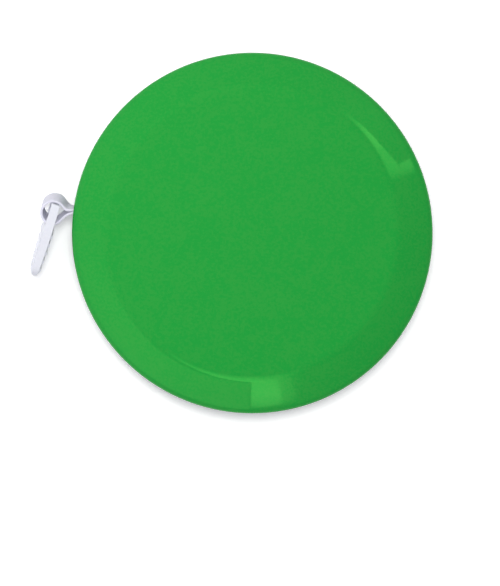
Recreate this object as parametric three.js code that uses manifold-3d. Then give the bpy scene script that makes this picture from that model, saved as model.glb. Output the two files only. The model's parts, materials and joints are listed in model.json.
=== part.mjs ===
// Retractable tape measure: a flat round case, a sprung drum of soft tape with a push-button brake release,
// and a pull tab on the tape's end loop. Millimetres, +Z up. The origin is on the drum's axis, in the plane
// that the case rests on. The tape leaves the case along -X.
import * as THREE from "three";
import { mergeVertices } from "three/addons/utils/BufferGeometryUtils.js";
import Module from "manifold-3d";

const wasm = await Module();
wasm.setup();

// Tape
const TAPE_LENGTH = 1500;
const TAPE_WIDTH = 7;
const TAPE_THICKNESS = 0.35;
const WINDING_PITCH = 0.38;
const TAPE_TAIL = 0.65;

// Drum
const HUB_RADIUS = 12;
const HUB_WALL = 1.1;
const FLANGE_THICKNESS = 0.8;
const FLANGE_LIP = 0.86;
const CAP_THICKNESS = 0.7;
const CAP_PLUG_WALL = 0.5;
const CAP_PLUG_DEPTH = 0.6;
const DISH_SPARE = 0.4;
const DISH_DEPTH = 0.6;
const JOURNAL_WALL = 1.2;
const JOURNAL_HEIGHT = 0.3;

// Arbor and mainspring
const ARBOR_RADIUS = 2.6;
const ARBOR_WALL = 1.2;
const KEY_STEP = 0.5;
const KEY_DEPTH = 0.95;
const SPRING_THICKNESS = 0.3;
const SPRING_TURNS = 7;
const SPRING_BEND = 0.5;
const TANG_SEAT_WALL = 0.3;

// Brake, washers and button
const BRAKE_THICKNESS = 0.5;
const BRAKE_INSET = 1.1;
const BRAKE_BAND = 3.5;
const THRUST_THICKNESS = 0.3;
const WASHER_SPACE = 1;
const WASHER_BAND = 1.9;
const WAVE_THICKNESS = 0.2;
const WAVES = 3;
const BUTTON_RADIUS = 7;
const BUTTON_RECESS = 0.3;
const BUTTON_WEB = 0.8;
const BUTTON_SKIRT = 1.2;
const BUTTON_EDGE_ROUND = 0.3;
const BUTTON_LIP = 1.2;
const COLLAR_SPACE = 0.7;
const COLLAR_WALL = 1.1;
const SPIGOT_LENGTH = 3.9;
const PRESS_TRAVEL = 0.7;

// Case
const FACE_WALL = 1.2;
const SIDE_WALL = 1.5;
const RIM_SPACE = 4.4;
const RIM_BAND = 4.85;
const BEVEL_DROP = 1.85;
const BEVEL_BULGE = 0.12;
const CORNER_REACH = 0.7;
const CORNER_DROP = 0.8;
const SEAM_CHAMFER = 0.2;
const LAP_THICKNESS = 0.6;
const LAP_HEIGHT = 1;
const THUMB_RIM = 2.6;
const THUMB_DEPTH = 0.5;
const BOSS_WALL = 1.6;
const PIN_RADIUS = 1;
const PINS = 4;
const SOCKET_WALL = 0.5;

// Exit channel
const SLOT_WIDTH = 1.9;
const SLOT_LIP_ROUND = 0.6;
const CHANNEL_LENGTH = 2.1;
const JAMB_THICKNESS = 0.9;
const LEAD_BEND = 1.3;

// End loop and its eyelet
const LOOP_REACH = 2.75;
const LOOP_OFFSET = 0.25;
const LOOP_RADIUS = 1.62;
const LOOP_LEAN = THREE.MathUtils.degToRad(9.25);
const LEAN_START = 1.3;
const LEAN_RUN = 3;
const LOOP_START = THREE.MathUtils.degToRad(62);
const LOOP_END = THREE.MathUtils.degToRad(255);
const FLANK_HANDLE_SHARE = 0.4;
const LAYER_GAP = 0.09;
const SHORT_LAYER_SPARE = 0.4;
const EYELET_RADIUS = 0.75;
const EYELET_WALL = 0.3;
const EYELET_FLANGE = 0.45;
const EYELET_FLANGE_THICKNESS = 0.2;

// Pull tab
const TAB_REACH = 10;
const TAB_ANGLE = THREE.MathUtils.degToRad(-98.75);
const TAB_HEAD = 0.57;
const TAB_HEAD_THICKNESS = 1.2;
const TAB_GRIP_THICKNESS = 1.4;
const TAB_TIP_THICKNESS = 1.1;
const TAB_STATION_SHARES = [0.32, 0.55, 0.78, 1];
const TAB_SIDE_BAR = 0.8;
const TAB_TIP_WIDTH = 7;
const TAB_CORNER_ROUND = 1.6;
const TAB_WINDOW_SPARE = 0.58;
const CROSSBAR_RADIUS = 0.52;
const RIB_RADIUS = 0.5;
const RIB_HEIGHT = 0.28;
const RIB_PITCH = 1.25;
const RIB_LEAD = 0.95;
const RIB_END = 1;
const RIB_MARGIN = 0.9;

// Clearances
const LOOSE_GAP = 0.3;
const RUNNING_GAP = 0.15;
const FACE_GAP = 0.1;
const OVERRUN = 1;

// Facets
const CASE_STEPS = 72;
const INNER_STEPS = 48;
const SMALL_STEPS = 20;
const SPRING_STEPS_PER_TURN = 20;
const LOOP_STEPS = 14;
const FLANK_STEPS = 6;
const LEAD_STEPS = 8;
const NOSE_STEPS = 6;
const EDGE_STEPS = 4;
const BEND_STEPS = 3;
const BEVEL_STEPS = 3;
const CORNER_STEPS = 3;
const MERGE_TOLERANCE = 1e-4;

// Heights above the resting plane, from the back of the case to the front
const brakeTop = FACE_WALL + BRAKE_THICKNESS;
const flangeBottom = brakeTop + RUNNING_GAP;
const flangeTop = flangeBottom + FLANGE_THICKNESS;
const tapeBottom = flangeTop + LOOSE_GAP;
const tapeMiddle = tapeBottom + TAPE_WIDTH / 2;
const tapeTop = tapeBottom + TAPE_WIDTH;
const capBottom = tapeTop + LOOSE_GAP;
const capTop = capBottom + CAP_THICKNESS;
const dishBottom = capBottom - DISH_DEPTH;
const dishTop = capTop - DISH_DEPTH;
const frontInner = capTop + PRESS_TRAVEL + RUNNING_GAP;
const caseThickness = frontInner + FACE_WALL;
const seamHeight = caseThickness / 2;
const socketFloor = 2 * FACE_WALL;
const springBottom = flangeTop + JOURNAL_HEIGHT + LOOSE_GAP;
const springTop = Math.min(dishBottom, capBottom - CAP_PLUG_DEPTH) - LOOSE_GAP;
const buttonTop = flangeBottom - FACE_GAP;
const buttonLipBottom = FACE_WALL + FACE_GAP;
const buttonWebTop = BUTTON_RECESS + BUTTON_WEB;
const arborBottom = buttonWebTop + PRESS_TRAVEL + LOOSE_GAP;
const bossBottom = dishTop + PRESS_TRAVEL + FACE_GAP;
const keyTop = bossBottom + KEY_DEPTH;

// Radii, from the wound tape outwards
const coilInner = HUB_RADIUS + LOOSE_GAP;
const coilOuter = Math.sqrt(coilInner ** 2 + (TAPE_LENGTH * WINDING_PITCH) / Math.PI);
const flangeRadius = coilOuter + FLANGE_LIP;
const caseInner = flangeRadius + RIM_SPACE;
const caseRadius = caseInner + SIDE_WALL;
const faceRadius = caseRadius - RIM_BAND;
const bevelRadius = caseRadius - CORNER_REACH;
const bevelSlope = BEVEL_DROP / (bevelRadius - faceRadius);
const innerFaceRadius = faceRadius - FACE_WALL * Math.tan(Math.atan(bevelSlope) / 2);
const innerBevelHeight = FACE_WALL + (caseInner - innerFaceRadius) * bevelSlope;
const lapRadius = caseInner + LAP_THICKNESS;
const pinCircle = (flangeRadius + LOOSE_GAP + caseInner) / 2;
const socketInner = PIN_RADIUS + LOOSE_GAP;
const socketOuter = socketInner + SOCKET_WALL;
const journalRadius = ARBOR_RADIUS + RUNNING_GAP;
const chamberRadius = HUB_RADIUS - HUB_WALL;
const buttonHole = BUTTON_RADIUS + LOOSE_GAP;
const thumbRadius = buttonHole + THUMB_RIM;
const brakeRadius = flangeRadius - BRAKE_INSET;
const keyAcross = 2 * (ARBOR_RADIUS - KEY_STEP);
const bossRadius = keyAcross / 2 + BOSS_WALL;
const washerInner = bossRadius + WASHER_SPACE;
const washerOuter = washerInner + WASHER_BAND;
const dishRadius = washerOuter + DISH_SPARE;
const spigotRadius = ARBOR_RADIUS - ARBOR_WALL - LOOSE_GAP;
const collarInner = ARBOR_RADIUS + COLLAR_SPACE;

// Places on the tape's way out, in plan
const slotHeight = TAPE_WIDTH + 2 * LOOSE_GAP;
const channelEnd = caseInner - CHANNEL_LENGTH;
const layerOffset = (TAPE_THICKNESS + LAYER_GAP) / 2;
const loopCentre = new THREE.Vector2(-(caseRadius + LOOP_REACH), -LOOP_OFFSET);
const tabDirection = new THREE.Vector2(Math.cos(TAB_ANGLE), Math.sin(TAB_ANGLE));
const loopInner = LOOP_RADIUS - TAPE_THICKNESS / 2;
const crossbarRise = loopInner - LOOSE_GAP - CROSSBAR_RADIUS;
const pivot = loopCentre.clone().addScaledVector(tabDirection, -crossbarRise);
const windowReach = crossbarRise + loopInner + TAPE_THICKNESS + TAB_WINDOW_SPARE;
const windowHalfWidth = TAPE_WIDTH / 2 + LOOSE_GAP;
const tabHalfWidth = windowHalfWidth + TAB_SIDE_BAR;

// Finishes
const finish = (color, roughness, metalness = 0) =>
  new THREE.MeshStandardMaterial({ color, roughness, metalness });
const greenPlastic = finish(0x2ea33f, 0.2);
const whitePlastic = finish(0xe8e9f2, 0.35);
const whiteTape = finish(0xe6e7f0, 0.55);
const naturalPlastic = finish(0xd9d6c8, 0.45);
const springSteel = finish(0x8e9399, 0.3, 1);
const brass = finish(0xb89a4a, 0.3, 1);
const blackRubber = finish(0x1c1c1c, 0.8);

// A closed geometry as a solid that can be joined and cut.
function solid(geometry) {
  const bare = geometry.clone();
  bare.deleteAttribute("normal");
  bare.deleteAttribute("uv");
  const merged = mergeVertices(bare, MERGE_TOLERANCE);
  const corners = merged.index.array;
  const triangles = [];
  for (let i = 0; i < corners.length; i += 3) {
    const [a, b, c] = corners.subarray(i, i + 3);
    if (a !== b && b !== c && c !== a) triangles.push(a, b, c);
  }
  return new wasm.Manifold(
    new wasm.Mesh({
      numProp: 3,
      vertProperties: merged.attributes.position.array,
      triVerts: new Uint32Array(triangles),
    }),
  );
}

const asSolid = (shape) => (shape.isBufferGeometry ? solid(shape) : shape);
const join = (first, ...others) => others.reduce((made, other) => made.add(asSolid(other)), asSolid(first));
const cut = (first, ...tools) => tools.reduce((made, tool) => made.subtract(asSolid(tool)), asSolid(first));
const common = (first, second) => asSolid(first).intersect(asSolid(second));

// A shape as the geometry of a mesh, with one normal for each facet.
function geometryOf(shape) {
  const { vertProperties, triVerts } = asSolid(shape).getMesh();
  const indexed = new THREE.BufferGeometry();
  indexed.setAttribute("position", new THREE.BufferAttribute(vertProperties, 3));
  indexed.setIndex(new THREE.BufferAttribute(triVerts, 1));
  const faceted = indexed.toNonIndexed();
  faceted.computeVertexNormals();
  return faceted;
}

// A closed profile of [radius, height] points, counter-clockwise, turned round Z.
function revolve(profile, steps) {
  const points = [...profile, profile[0]].map(([r, z]) => new THREE.Vector2(r, z));
  return new THREE.LatheGeometry(points, steps).rotateX(Math.PI / 2);
}

// A ring or, with no inner radius, a disc.
function ring(inner, outer, low, high, steps) {
  return revolve([[inner, low], [outer, low], [outer, high], [inner, high]], steps);
}

// A box from its low and high corners.
function block(low, high) {
  const size = high.map((v, i) => v - low[i]);
  const middle = high.map((v, i) => (v + low[i]) / 2);
  return new THREE.BoxGeometry(...size).translate(...middle);
}

// An outline in plan, raised from one height to another.
function raise(outline, low, high, curveSegments = SMALL_STEPS) {
  const settings = { depth: high - low, bevelEnabled: false, curveSegments };
  return new THREE.ExtrudeGeometry(outline, settings).translate(0, 0, low);
}

// A skin over rings of points that run right-handed round the way of travel.
function loft(rings, closed = false) {
  const sides = rings[0].length;
  const index = [];
  const spans = closed ? rings.length : rings.length - 1;
  for (let i = 0; i < spans; i++) {
    const next = (i + 1) % rings.length;
    for (let j = 0; j < sides; j++) {
      const k = (j + 1) % sides;
      const [a, b, c, d] = [i * sides + j, i * sides + k, next * sides + k, next * sides + j];
      index.push(a, b, c, a, c, d);
    }
  }
  const last = (rings.length - 1) * sides;
  for (let j = 1; !closed && j < sides - 1; j++) index.push(0, j + 1, j, last, last + j, last + j + 1);
  const skin = new THREE.BufferGeometry().setFromPoints(rings.flat());
  skin.setIndex(index);
  return skin;
}

// A strip on edge along a path in plan. place moves each corner of its section.
function strip(path, thickness, low, high, place = (corner) => corner) {
  const rings = path.map((point, i) => {
    const before = path[Math.max(i - 1, 0)];
    const after = path[Math.min(i + 1, path.length - 1)];
    const back = point.clone().sub(before).normalize();
    const ahead = after.clone().sub(point).normalize();
    const way = back.clone().add(ahead).normalize();
    const mitre = Math.max(way.dot(back), way.dot(ahead));
    const left = new THREE.Vector2(-way.y, way.x).multiplyScalar(thickness / 2 / mitre);
    const inside = point.clone().sub(left);
    const outside = point.clone().add(left);
    return [
      new THREE.Vector3(inside.x, inside.y, low),
      new THREE.Vector3(outside.x, outside.y, low),
      new THREE.Vector3(outside.x, outside.y, high),
      new THREE.Vector3(inside.x, inside.y, high),
    ].map(place);
  });
  return loft(rings);
}

// The points of an arc between two [radius, height] points that bulges out by a given height.
function bulged([r0, z0], [r1, z1], bulge, steps) {
  const chord = Math.hypot(r1 - r0, z1 - z0);
  const [nx, nz] = [(z1 - z0) / chord, (r0 - r1) / chord];
  return Array.from({ length: steps + 1 }, (_, i) => {
    const t = i / steps;
    const rise = 4 * bulge * t * (1 - t);
    return [r0 + (r1 - r0) * t + nx * rise, z0 + (z1 - z0) * t + nz * rise];
  });
}

// The points of the round into the side wall, which starts at the slope that the bulged bevel ends with.
function cornerRound(steps) {
  const bevelReach = bevelRadius - faceRadius;
  const swell = (4 * BEVEL_BULGE) / Math.hypot(bevelReach, BEVEL_DROP);
  const endSlope = (BEVEL_DROP + swell * bevelReach) / (bevelReach - swell * BEVEL_DROP);
  const round = new THREE.QuadraticBezierCurve(
    new THREE.Vector2(bevelRadius, BEVEL_DROP),
    new THREE.Vector2(caseRadius, BEVEL_DROP + CORNER_REACH * endSlope),
    new THREE.Vector2(caseRadius, BEVEL_DROP + CORNER_DROP),
  );
  return round.getPoints(steps).slice(1).map((point) => point.toArray());
}

// The outside of a case shell, as heights above its own face: the face, bevel, corner and side wall.
function shellOutside() {
  return [
    ...bulged([faceRadius, 0], [bevelRadius, BEVEL_DROP], BEVEL_BULGE, BEVEL_STEPS),
    ...cornerRound(CORNER_STEPS),
    [caseRadius, seamHeight - SEAM_CHAMFER],
    [caseRadius - SEAM_CHAMFER, seamHeight],
  ];
}

// The inside of a case shell, from the side wall back to the inner face.
function shellInside() {
  return [
    [caseInner, innerBevelHeight],
    [innerFaceRadius, FACE_WALL],
  ];
}

// The slot through the side wall, with its mouth rounded outwards.
function slotCut() {
  const half = SLOT_WIDTH / 2;
  const mouth = caseRadius - SLOT_LIP_ROUND;
  const outside = caseRadius + OVERRUN;
  const outline = new THREE.Shape();
  outline.moveTo(-(caseInner - OVERRUN), -half);
  outline.lineTo(-(caseInner - OVERRUN), half);
  outline.lineTo(-mouth, half);
  outline.quadraticCurveTo(-caseRadius, half, -caseRadius, half + SLOT_LIP_ROUND);
  outline.lineTo(-outside, half + SLOT_LIP_ROUND);
  outline.lineTo(-outside, -half - SLOT_LIP_ROUND);
  outline.lineTo(-caseRadius, -half - SLOT_LIP_ROUND);
  outline.quadraticCurveTo(-caseRadius, -half, -mouth, -half);
  outline.closePath();
  return raise(outline, tapeMiddle - slotHeight / 2, tapeMiddle + slotHeight / 2, EDGE_STEPS);
}

// The two jambs that line the exit channel, round-nosed where the tape turns on them.
function jambs(low, high) {
  return [1, -1].map((side) => {
    const near = side * (SLOT_WIDTH / 2);
    const far = side * (SLOT_WIDTH / 2 + JAMB_THICKNESS);
    const root = -(caseInner + SIDE_WALL / 2);
    const nose = -(channelEnd + JAMB_THICKNESS / 2);
    const turn = (side * Math.PI) / 2;
    const outline = new THREE.Shape();
    outline.moveTo(root, near);
    outline.lineTo(nose, near);
    outline.absarc(nose, (near + far) / 2, JAMB_THICKNESS / 2, -turn, turn, side < 0);
    outline.lineTo(root, far);
    outline.closePath();
    return raise(outline, low, high, NOSE_STEPS);
  });
}

// Where the moulded pins stand, clear of the exit channel and the tape's way to it.
function pinPlaces() {
  return Array.from({ length: PINS }, (_, i) => {
    const angle = ((i + 1 / 2) / PINS) * 2 * Math.PI;
    return [pinCircle * Math.cos(angle), pinCircle * Math.sin(angle)];
  });
}

function frontCover() {
  const profile = [
    [0, 0],
    [faceRadius - FACE_WALL, 0],
    ...shellOutside(),
    [lapRadius, seamHeight],
    [lapRadius, seamHeight + LAP_HEIGHT],
    [caseInner, seamHeight + LAP_HEIGHT],
    ...shellInside(),
    [0, FACE_WALL],
  ];
  const toFront = profile.map(([r, z]) => [r, caseThickness - z]).reverse();
  const boss = ring(0, bossRadius, bossBottom, caseThickness - FACE_WALL / 2, INNER_STEPS);
  const keyway = key(keyAcross + 2 * FACE_GAP, bossBottom - OVERRUN, keyTop + FACE_GAP);
  const pinTop = frontInner + FACE_WALL / 2;
  const pins = pinPlaces().map(([x, y]) =>
    ring(0, PIN_RADIUS, socketFloor + LOOSE_GAP, pinTop, SMALL_STEPS).translate(x, y, 0),
  );
  const ribs = [...pins, ...jambs(seamHeight, pinTop)].map(insideCase);
  return cut(join(revolve(toFront, CASE_STEPS), boss, ...ribs), keyway, slotCut());
}

function backCover() {
  const profile = [
    [buttonHole, THUMB_DEPTH],
    [thumbRadius, 0],
    ...shellOutside(),
    [lapRadius + LOOSE_GAP, seamHeight],
    [lapRadius + LOOSE_GAP, seamHeight - LAP_HEIGHT - LOOSE_GAP],
    [caseInner, seamHeight - LAP_HEIGHT - LOOSE_GAP],
    ...shellInside(),
    [buttonHole, FACE_WALL],
  ];
  const posts = pinPlaces().map(([x, y]) =>
    ring(0, socketOuter, FACE_WALL / 2, seamHeight - LOOSE_GAP, SMALL_STEPS).translate(x, y, 0),
  );
  const bores = pinPlaces().map(([x, y]) =>
    ring(0, socketInner, socketFloor, seamHeight, SMALL_STEPS).translate(x, y, 0),
  );
  const ribs = [...posts, ...jambs(FACE_WALL / 2, seamHeight)].map(insideCase);
  return cut(join(revolve(profile, CASE_STEPS), ...ribs), ...bores, slotCut());
}

// What is left of a rib or post once the outside of the case is cut from it.
function insideCase(rib) {
  const profile = [
    [0, FACE_WALL / 2],
    [innerFaceRadius, FACE_WALL / 2],
    [caseInner, innerBevelHeight - FACE_WALL / 2],
    [caseInner, caseThickness - innerBevelHeight + FACE_WALL / 2],
    [innerFaceRadius, caseThickness - FACE_WALL / 2],
    [0, caseThickness - FACE_WALL / 2],
  ];
  return common(rib, revolve(profile, CASE_STEPS));
}

// A hexagonal key of the given size across its flats.
function key(across, low, high) {
  return ring(0, across / 2 / Math.cos(Math.PI / 6), low, high, 6);
}

function arbor() {
  const bore = ARBOR_RADIUS - ARBOR_WALL;
  const boreTop = buttonWebTop + SPIGOT_LENGTH + PRESS_TRAVEL + LOOSE_GAP;
  const post = ring(0, ARBOR_RADIUS, arborBottom, bossBottom - FACE_GAP, INNER_STEPS);
  const hexKey = key(keyAcross, bossBottom - FACE_WALL, keyTop);
  const hollow = ring(0, bore, arborBottom - OVERRUN, boreTop, SMALL_STEPS);
  const half = SPRING_THICKNESS / 2 + LOOSE_GAP;
  const slit = block(
    [bore + TANG_SEAT_WALL, -half, springBottom - LOOSE_GAP],
    [ARBOR_RADIUS + OVERRUN, half, springTop + PRESS_TRAVEL + LOOSE_GAP],
  );
  return cut(join(post, hexKey), hollow, slit);
}

function drumBody() {
  const hubTop = capBottom - RUNNING_GAP;
  const profile = [
    [journalRadius, flangeBottom],
    [flangeRadius, flangeBottom],
    [flangeRadius, flangeTop],
    [HUB_RADIUS, flangeTop],
    [HUB_RADIUS, hubTop],
    [chamberRadius, hubTop],
    [chamberRadius, flangeTop],
    [journalRadius + JOURNAL_WALL, flangeTop],
    [journalRadius + JOURNAL_WALL, flangeTop + JOURNAL_HEIGHT],
    [journalRadius, flangeTop + JOURNAL_HEIGHT],
  ];
  const hookHalf = SPRING_THICKNESS / 2 + LOOSE_GAP;
  const hookNotch = block(
    [-hookHalf, chamberRadius - OVERRUN, springBottom - LOOSE_GAP],
    [hookHalf, HUB_RADIUS + OVERRUN, hubTop + OVERRUN],
  );
  const tailHalf = TAPE_THICKNESS / 2 + LOOSE_GAP;
  const tailNotch = block(
    [-tailHalf, -(HUB_RADIUS + OVERRUN), tapeBottom - LOOSE_GAP],
    [tailHalf, -(coilInner - TAPE_TAIL - LOOSE_GAP), hubTop + OVERRUN],
  );
  return cut(revolve(profile, INNER_STEPS), hookNotch, tailNotch);
}

function drumCap() {
  const plugOuter = chamberRadius - LOOSE_GAP;
  const plugInner = plugOuter - CAP_PLUG_WALL;
  return revolve(
    [
      [journalRadius, dishBottom],
      [dishRadius + CAP_THICKNESS, dishBottom],
      [dishRadius + CAP_THICKNESS, capBottom],
      [plugInner, capBottom],
      [plugInner, capBottom - CAP_PLUG_DEPTH],
      [plugOuter, capBottom - CAP_PLUG_DEPTH],
      [plugOuter, capBottom],
      [flangeRadius, capBottom],
      [flangeRadius, capTop],
      [dishRadius, capTop],
      [dishRadius, dishTop],
      [journalRadius, dishTop],
    ],
    INNER_STEPS,
  );
}

// The mainspring: a tang in the arbor's slit, the spiral, and a hook out through the hub's notch at +Y.
function mainspring() {
  const bore = ARBOR_RADIUS - ARBOR_WALL;
  const tangStart = bore + TANG_SEAT_WALL + LOOSE_GAP;
  const first = ARBOR_RADIUS + LOOSE_GAP + SPRING_THICKNESS / 2 + SPRING_BEND / 2;
  const lastRadius = chamberRadius - LOOSE_GAP - SPRING_THICKNESS;
  const startAngle = Math.atan2(SPRING_BEND, first);
  const startRadius = Math.hypot(SPRING_BEND, first);
  const hookStart = lastRadius + SPRING_BEND;
  const endAngle = (SPRING_TURNS + 1 / 4) * 2 * Math.PI - Math.atan2(SPRING_BEND, hookStart);
  const inBend = new THREE.EllipseCurve(
    first - SPRING_BEND, SPRING_BEND, SPRING_BEND, SPRING_BEND, -Math.PI / 2, 0, false,
  );
  const path = [new THREE.Vector2(tangStart, 0), ...inBend.getPoints(BEND_STEPS)];
  const steps = Math.round(((endAngle - startAngle) / (2 * Math.PI)) * SPRING_STEPS_PER_TURN);
  for (let i = 1; i <= steps; i++) {
    const t = i / steps;
    const radius = startRadius + (lastRadius - startRadius) * t;
    const angle = startAngle + (endAngle - startAngle) * t;
    path.push(new THREE.Vector2(radius * Math.cos(angle), radius * Math.sin(angle)));
  }
  const outBend = new THREE.EllipseCurve(
    hookStart * Math.cos(endAngle), hookStart * Math.sin(endAngle),
    SPRING_BEND, SPRING_BEND, endAngle - Math.PI, endAngle + Math.PI / 2, true,
  );
  path.push(...hookPoints(outBend, endAngle, hookStart));
  return strip(path, SPRING_THICKNESS, springBottom, springTop);
}

// The hook at the spring's outer end, from its bend to the inside of the hub's outer face.
function hookPoints(bend, angle, hookStart) {
  const points = bend.getPoints(BEND_STEPS).slice(1);
  const way = new THREE.Vector2(Math.cos(angle), Math.sin(angle));
  const end = points[points.length - 1].clone();
  end.addScaledVector(way, HUB_RADIUS - LOOSE_GAP - hookStart);
  return [...points, end];
}

function brakeRing() {
  return ring(brakeRadius - BRAKE_BAND, brakeRadius, FACE_WALL, brakeTop, INNER_STEPS);
}

function thrustWasher() {
  const low = dishTop + FACE_GAP;
  return ring(washerInner, washerOuter, low, low + THRUST_THICKNESS, INNER_STEPS);
}

// The wave washer rises and falls between the thrust washer and the front cover.
function waveWasher() {
  const low = dishTop + FACE_GAP + THRUST_THICKNESS + FACE_GAP;
  const middle = (low + frontInner - FACE_GAP - WAVE_THICKNESS) / 2;
  const amplitude = middle - low;
  const rings = Array.from({ length: INNER_STEPS }, (_, i) => {
    const angle = (i / INNER_STEPS) * 2 * Math.PI;
    const [c, s] = [Math.cos(angle), Math.sin(angle)];
    const z = middle - amplitude * Math.cos(WAVES * angle);
    return [
      new THREE.Vector3(washerInner * c, washerInner * s, z + WAVE_THICKNESS),
      new THREE.Vector3(washerOuter * c, washerOuter * s, z + WAVE_THICKNESS),
      new THREE.Vector3(washerOuter * c, washerOuter * s, z),
      new THREE.Vector3(washerInner * c, washerInner * s, z),
    ];
  });
  return loft(rings, true);
}

function pushButton() {
  const profile = [
    [0, BUTTON_RECESS],
    [BUTTON_RADIUS - BUTTON_EDGE_ROUND, BUTTON_RECESS],
    [BUTTON_RADIUS, BUTTON_RECESS + BUTTON_EDGE_ROUND],
    [BUTTON_RADIUS, buttonLipBottom],
    [BUTTON_RADIUS + BUTTON_LIP, buttonLipBottom],
    [BUTTON_RADIUS + BUTTON_LIP, buttonTop],
    [BUTTON_RADIUS - BUTTON_SKIRT, buttonTop],
    [BUTTON_RADIUS - BUTTON_SKIRT, buttonWebTop],
    [collarInner + COLLAR_WALL, buttonWebTop],
    [collarInner + COLLAR_WALL, buttonTop],
    [collarInner, buttonTop],
    [collarInner, buttonWebTop],
    [spigotRadius, buttonWebTop],
    [spigotRadius, buttonWebTop + SPIGOT_LENGTH],
    [0, buttonWebTop + SPIGOT_LENGTH],
  ];
  return revolve(profile, INNER_STEPS);
}

// Where the free tape leaves the coil, going in along the way that it unwinds.
function takeOff() {
  const radius = coilOuter - TAPE_THICKNESS / 2;
  const bend = new THREE.Vector2(-channelEnd, layerOffset + LEAD_BEND);
  const angle = Math.asin((radius + LEAD_BEND) / bend.length()) - Math.atan2(bend.y, -bend.x);
  const point = new THREE.Vector2(-radius * Math.sin(angle), radius * Math.cos(angle));
  return { bend, angle, point };
}

// The wound tape: its outline climbs one layer in a turn, up to the step that the lead leaves from. A short
// tail is tucked into the hub.
function tapeCoil() {
  const leave = takeOff();
  const stepAngle = Math.atan2(leave.point.y, leave.point.x);
  const outline = new THREE.Shape();
  for (let i = 0; i <= CASE_STEPS; i++) {
    const t = i / CASE_STEPS;
    const radius = coilOuter - WINDING_PITCH * (1 - t);
    const angle = stepAngle + t * 2 * Math.PI;
    outline[i ? "lineTo" : "moveTo"](radius * Math.cos(angle), radius * Math.sin(angle));
  }
  outline.closePath();
  const bore = new THREE.Path();
  bore.absarc(0, 0, coilInner, 0, 2 * Math.PI, true);
  outline.holes.push(bore);
  const tail = block(
    [-TAPE_THICKNESS / 2, -(coilInner + TAPE_THICKNESS), tapeBottom],
    [TAPE_THICKNESS / 2, -(coilInner - TAPE_TAIL), tapeTop],
  );
  return join(raise(outline, tapeBottom, tapeTop, INNER_STEPS / 2), tail);
}

// The free tape from the coil to the exit channel: straight off the coil, then round the upper jamb's nose.
function tapeLead() {
  const { bend, angle, point } = takeOff();
  const way = new THREE.Vector2(Math.cos(angle), Math.sin(angle));
  const turn = new THREE.EllipseCurve(
    bend.x, bend.y, LEAD_BEND, LEAD_BEND, angle - Math.PI / 2, -Math.PI / 2, true,
  );
  const path = [point.clone().addScaledVector(way, -LOOSE_GAP), ...turn.getPoints(LEAD_STEPS)];
  return strip(path, TAPE_THICKNESS, tapeBottom, tapeTop);
}

// The tape twists about the line through the crossbar as it leaves the slot, up to the lean of the loop.
function leaned(corner) {
  const t = (-(caseRadius - LEAN_START) - corner.x) / LEAN_RUN;
  const angle = LOOP_LEAN * THREE.MathUtils.smoothstep(t, 0, 1);
  const arm = new THREE.Vector3(0, corner.y - pivot.y, corner.z - tapeMiddle);
  arm.applyAxisAngle(new THREE.Vector3(1, 0, 0), angle);
  return new THREE.Vector3(corner.x, pivot.y + arm.y, tapeMiddle + arm.z);
}

// The end loop in plan: out along the upper layer, round the teardrop and back in along the lower one.
function loopPath() {
  const onLoop = (angle) =>
    new THREE.Vector2(Math.cos(angle), Math.sin(angle)).multiplyScalar(LOOP_RADIUS).add(loopCentre);
  const along = (angle) => new THREE.Vector2(-Math.sin(angle), Math.cos(angle));
  const flank = (from, fromWay, to, toWay) => {
    const reach = from.distanceTo(to) * FLANK_HANDLE_SHARE;
    return new THREE.CubicBezierCurve(
      from,
      from.clone().addScaledVector(fromWay, reach),
      to.clone().addScaledVector(toWay, -reach),
      to,
    ).getPoints(FLANK_STEPS);
  };
  const outwards = new THREE.Vector2(-1, 0);
  const inwards = new THREE.Vector2(1, 0);
  const upperMouth = new THREE.Vector2(-caseRadius, layerOffset);
  const lowerMouth = new THREE.Vector2(-caseRadius, -layerOffset);
  const round = new THREE.EllipseCurve(
    loopCentre.x, loopCentre.y, LOOP_RADIUS, LOOP_RADIUS, LOOP_START, LOOP_END, false,
  ).getPoints(LOOP_STEPS);
  return [
    new THREE.Vector2(-(channelEnd + LOOSE_GAP), layerOffset),
    new THREE.Vector2(-(caseRadius - LEAN_START), layerOffset),
    ...flank(upperMouth, outwards, onLoop(LOOP_START), along(LOOP_START)),
    ...round.slice(1, -1),
    ...flank(onLoop(LOOP_END), along(LOOP_END), lowerMouth, inwards),
    new THREE.Vector2(-(caseRadius - LEAN_START), -layerOffset),
    new THREE.Vector2(-(channelEnd + LOOSE_GAP - SHORT_LAYER_SPARE), -layerOffset),
  ];
}

// The eyelet's middle, inside the channel at rest.
function eyeletPlace() {
  return channelEnd + FACE_GAP + EYELET_RADIUS + EYELET_FLANGE;
}

// A ring or disc on the eyelet's axis, which crosses both layers of the tape.
function acrossTape(inner, outer, low, high) {
  return ring(inner, outer, low, high, SMALL_STEPS)
    .rotateX(-Math.PI / 2)
    .translate(-eyeletPlace(), 0, tapeMiddle);
}

function tapeEndLoop() {
  const hole = acrossTape(0, EYELET_RADIUS + FACE_GAP, -SLOT_WIDTH, SLOT_WIDTH);
  return cut(strip(loopPath(), TAPE_THICKNESS, tapeBottom, tapeTop, leaned), hole);
}

function loopEyelet() {
  const inner = layerOffset + TAPE_THICKNESS / 2 + LAYER_GAP / 2;
  const outer = inner + EYELET_FLANGE_THICKNESS;
  const bore = EYELET_RADIUS - EYELET_WALL;
  return join(
    acrossTape(bore, EYELET_RADIUS, -outer, outer),
    acrossTape(bore, EYELET_RADIUS + EYELET_FLANGE, inner, outer),
    acrossTape(bore, EYELET_RADIUS + EYELET_FLANGE, -outer, -inner),
  );
}

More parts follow.
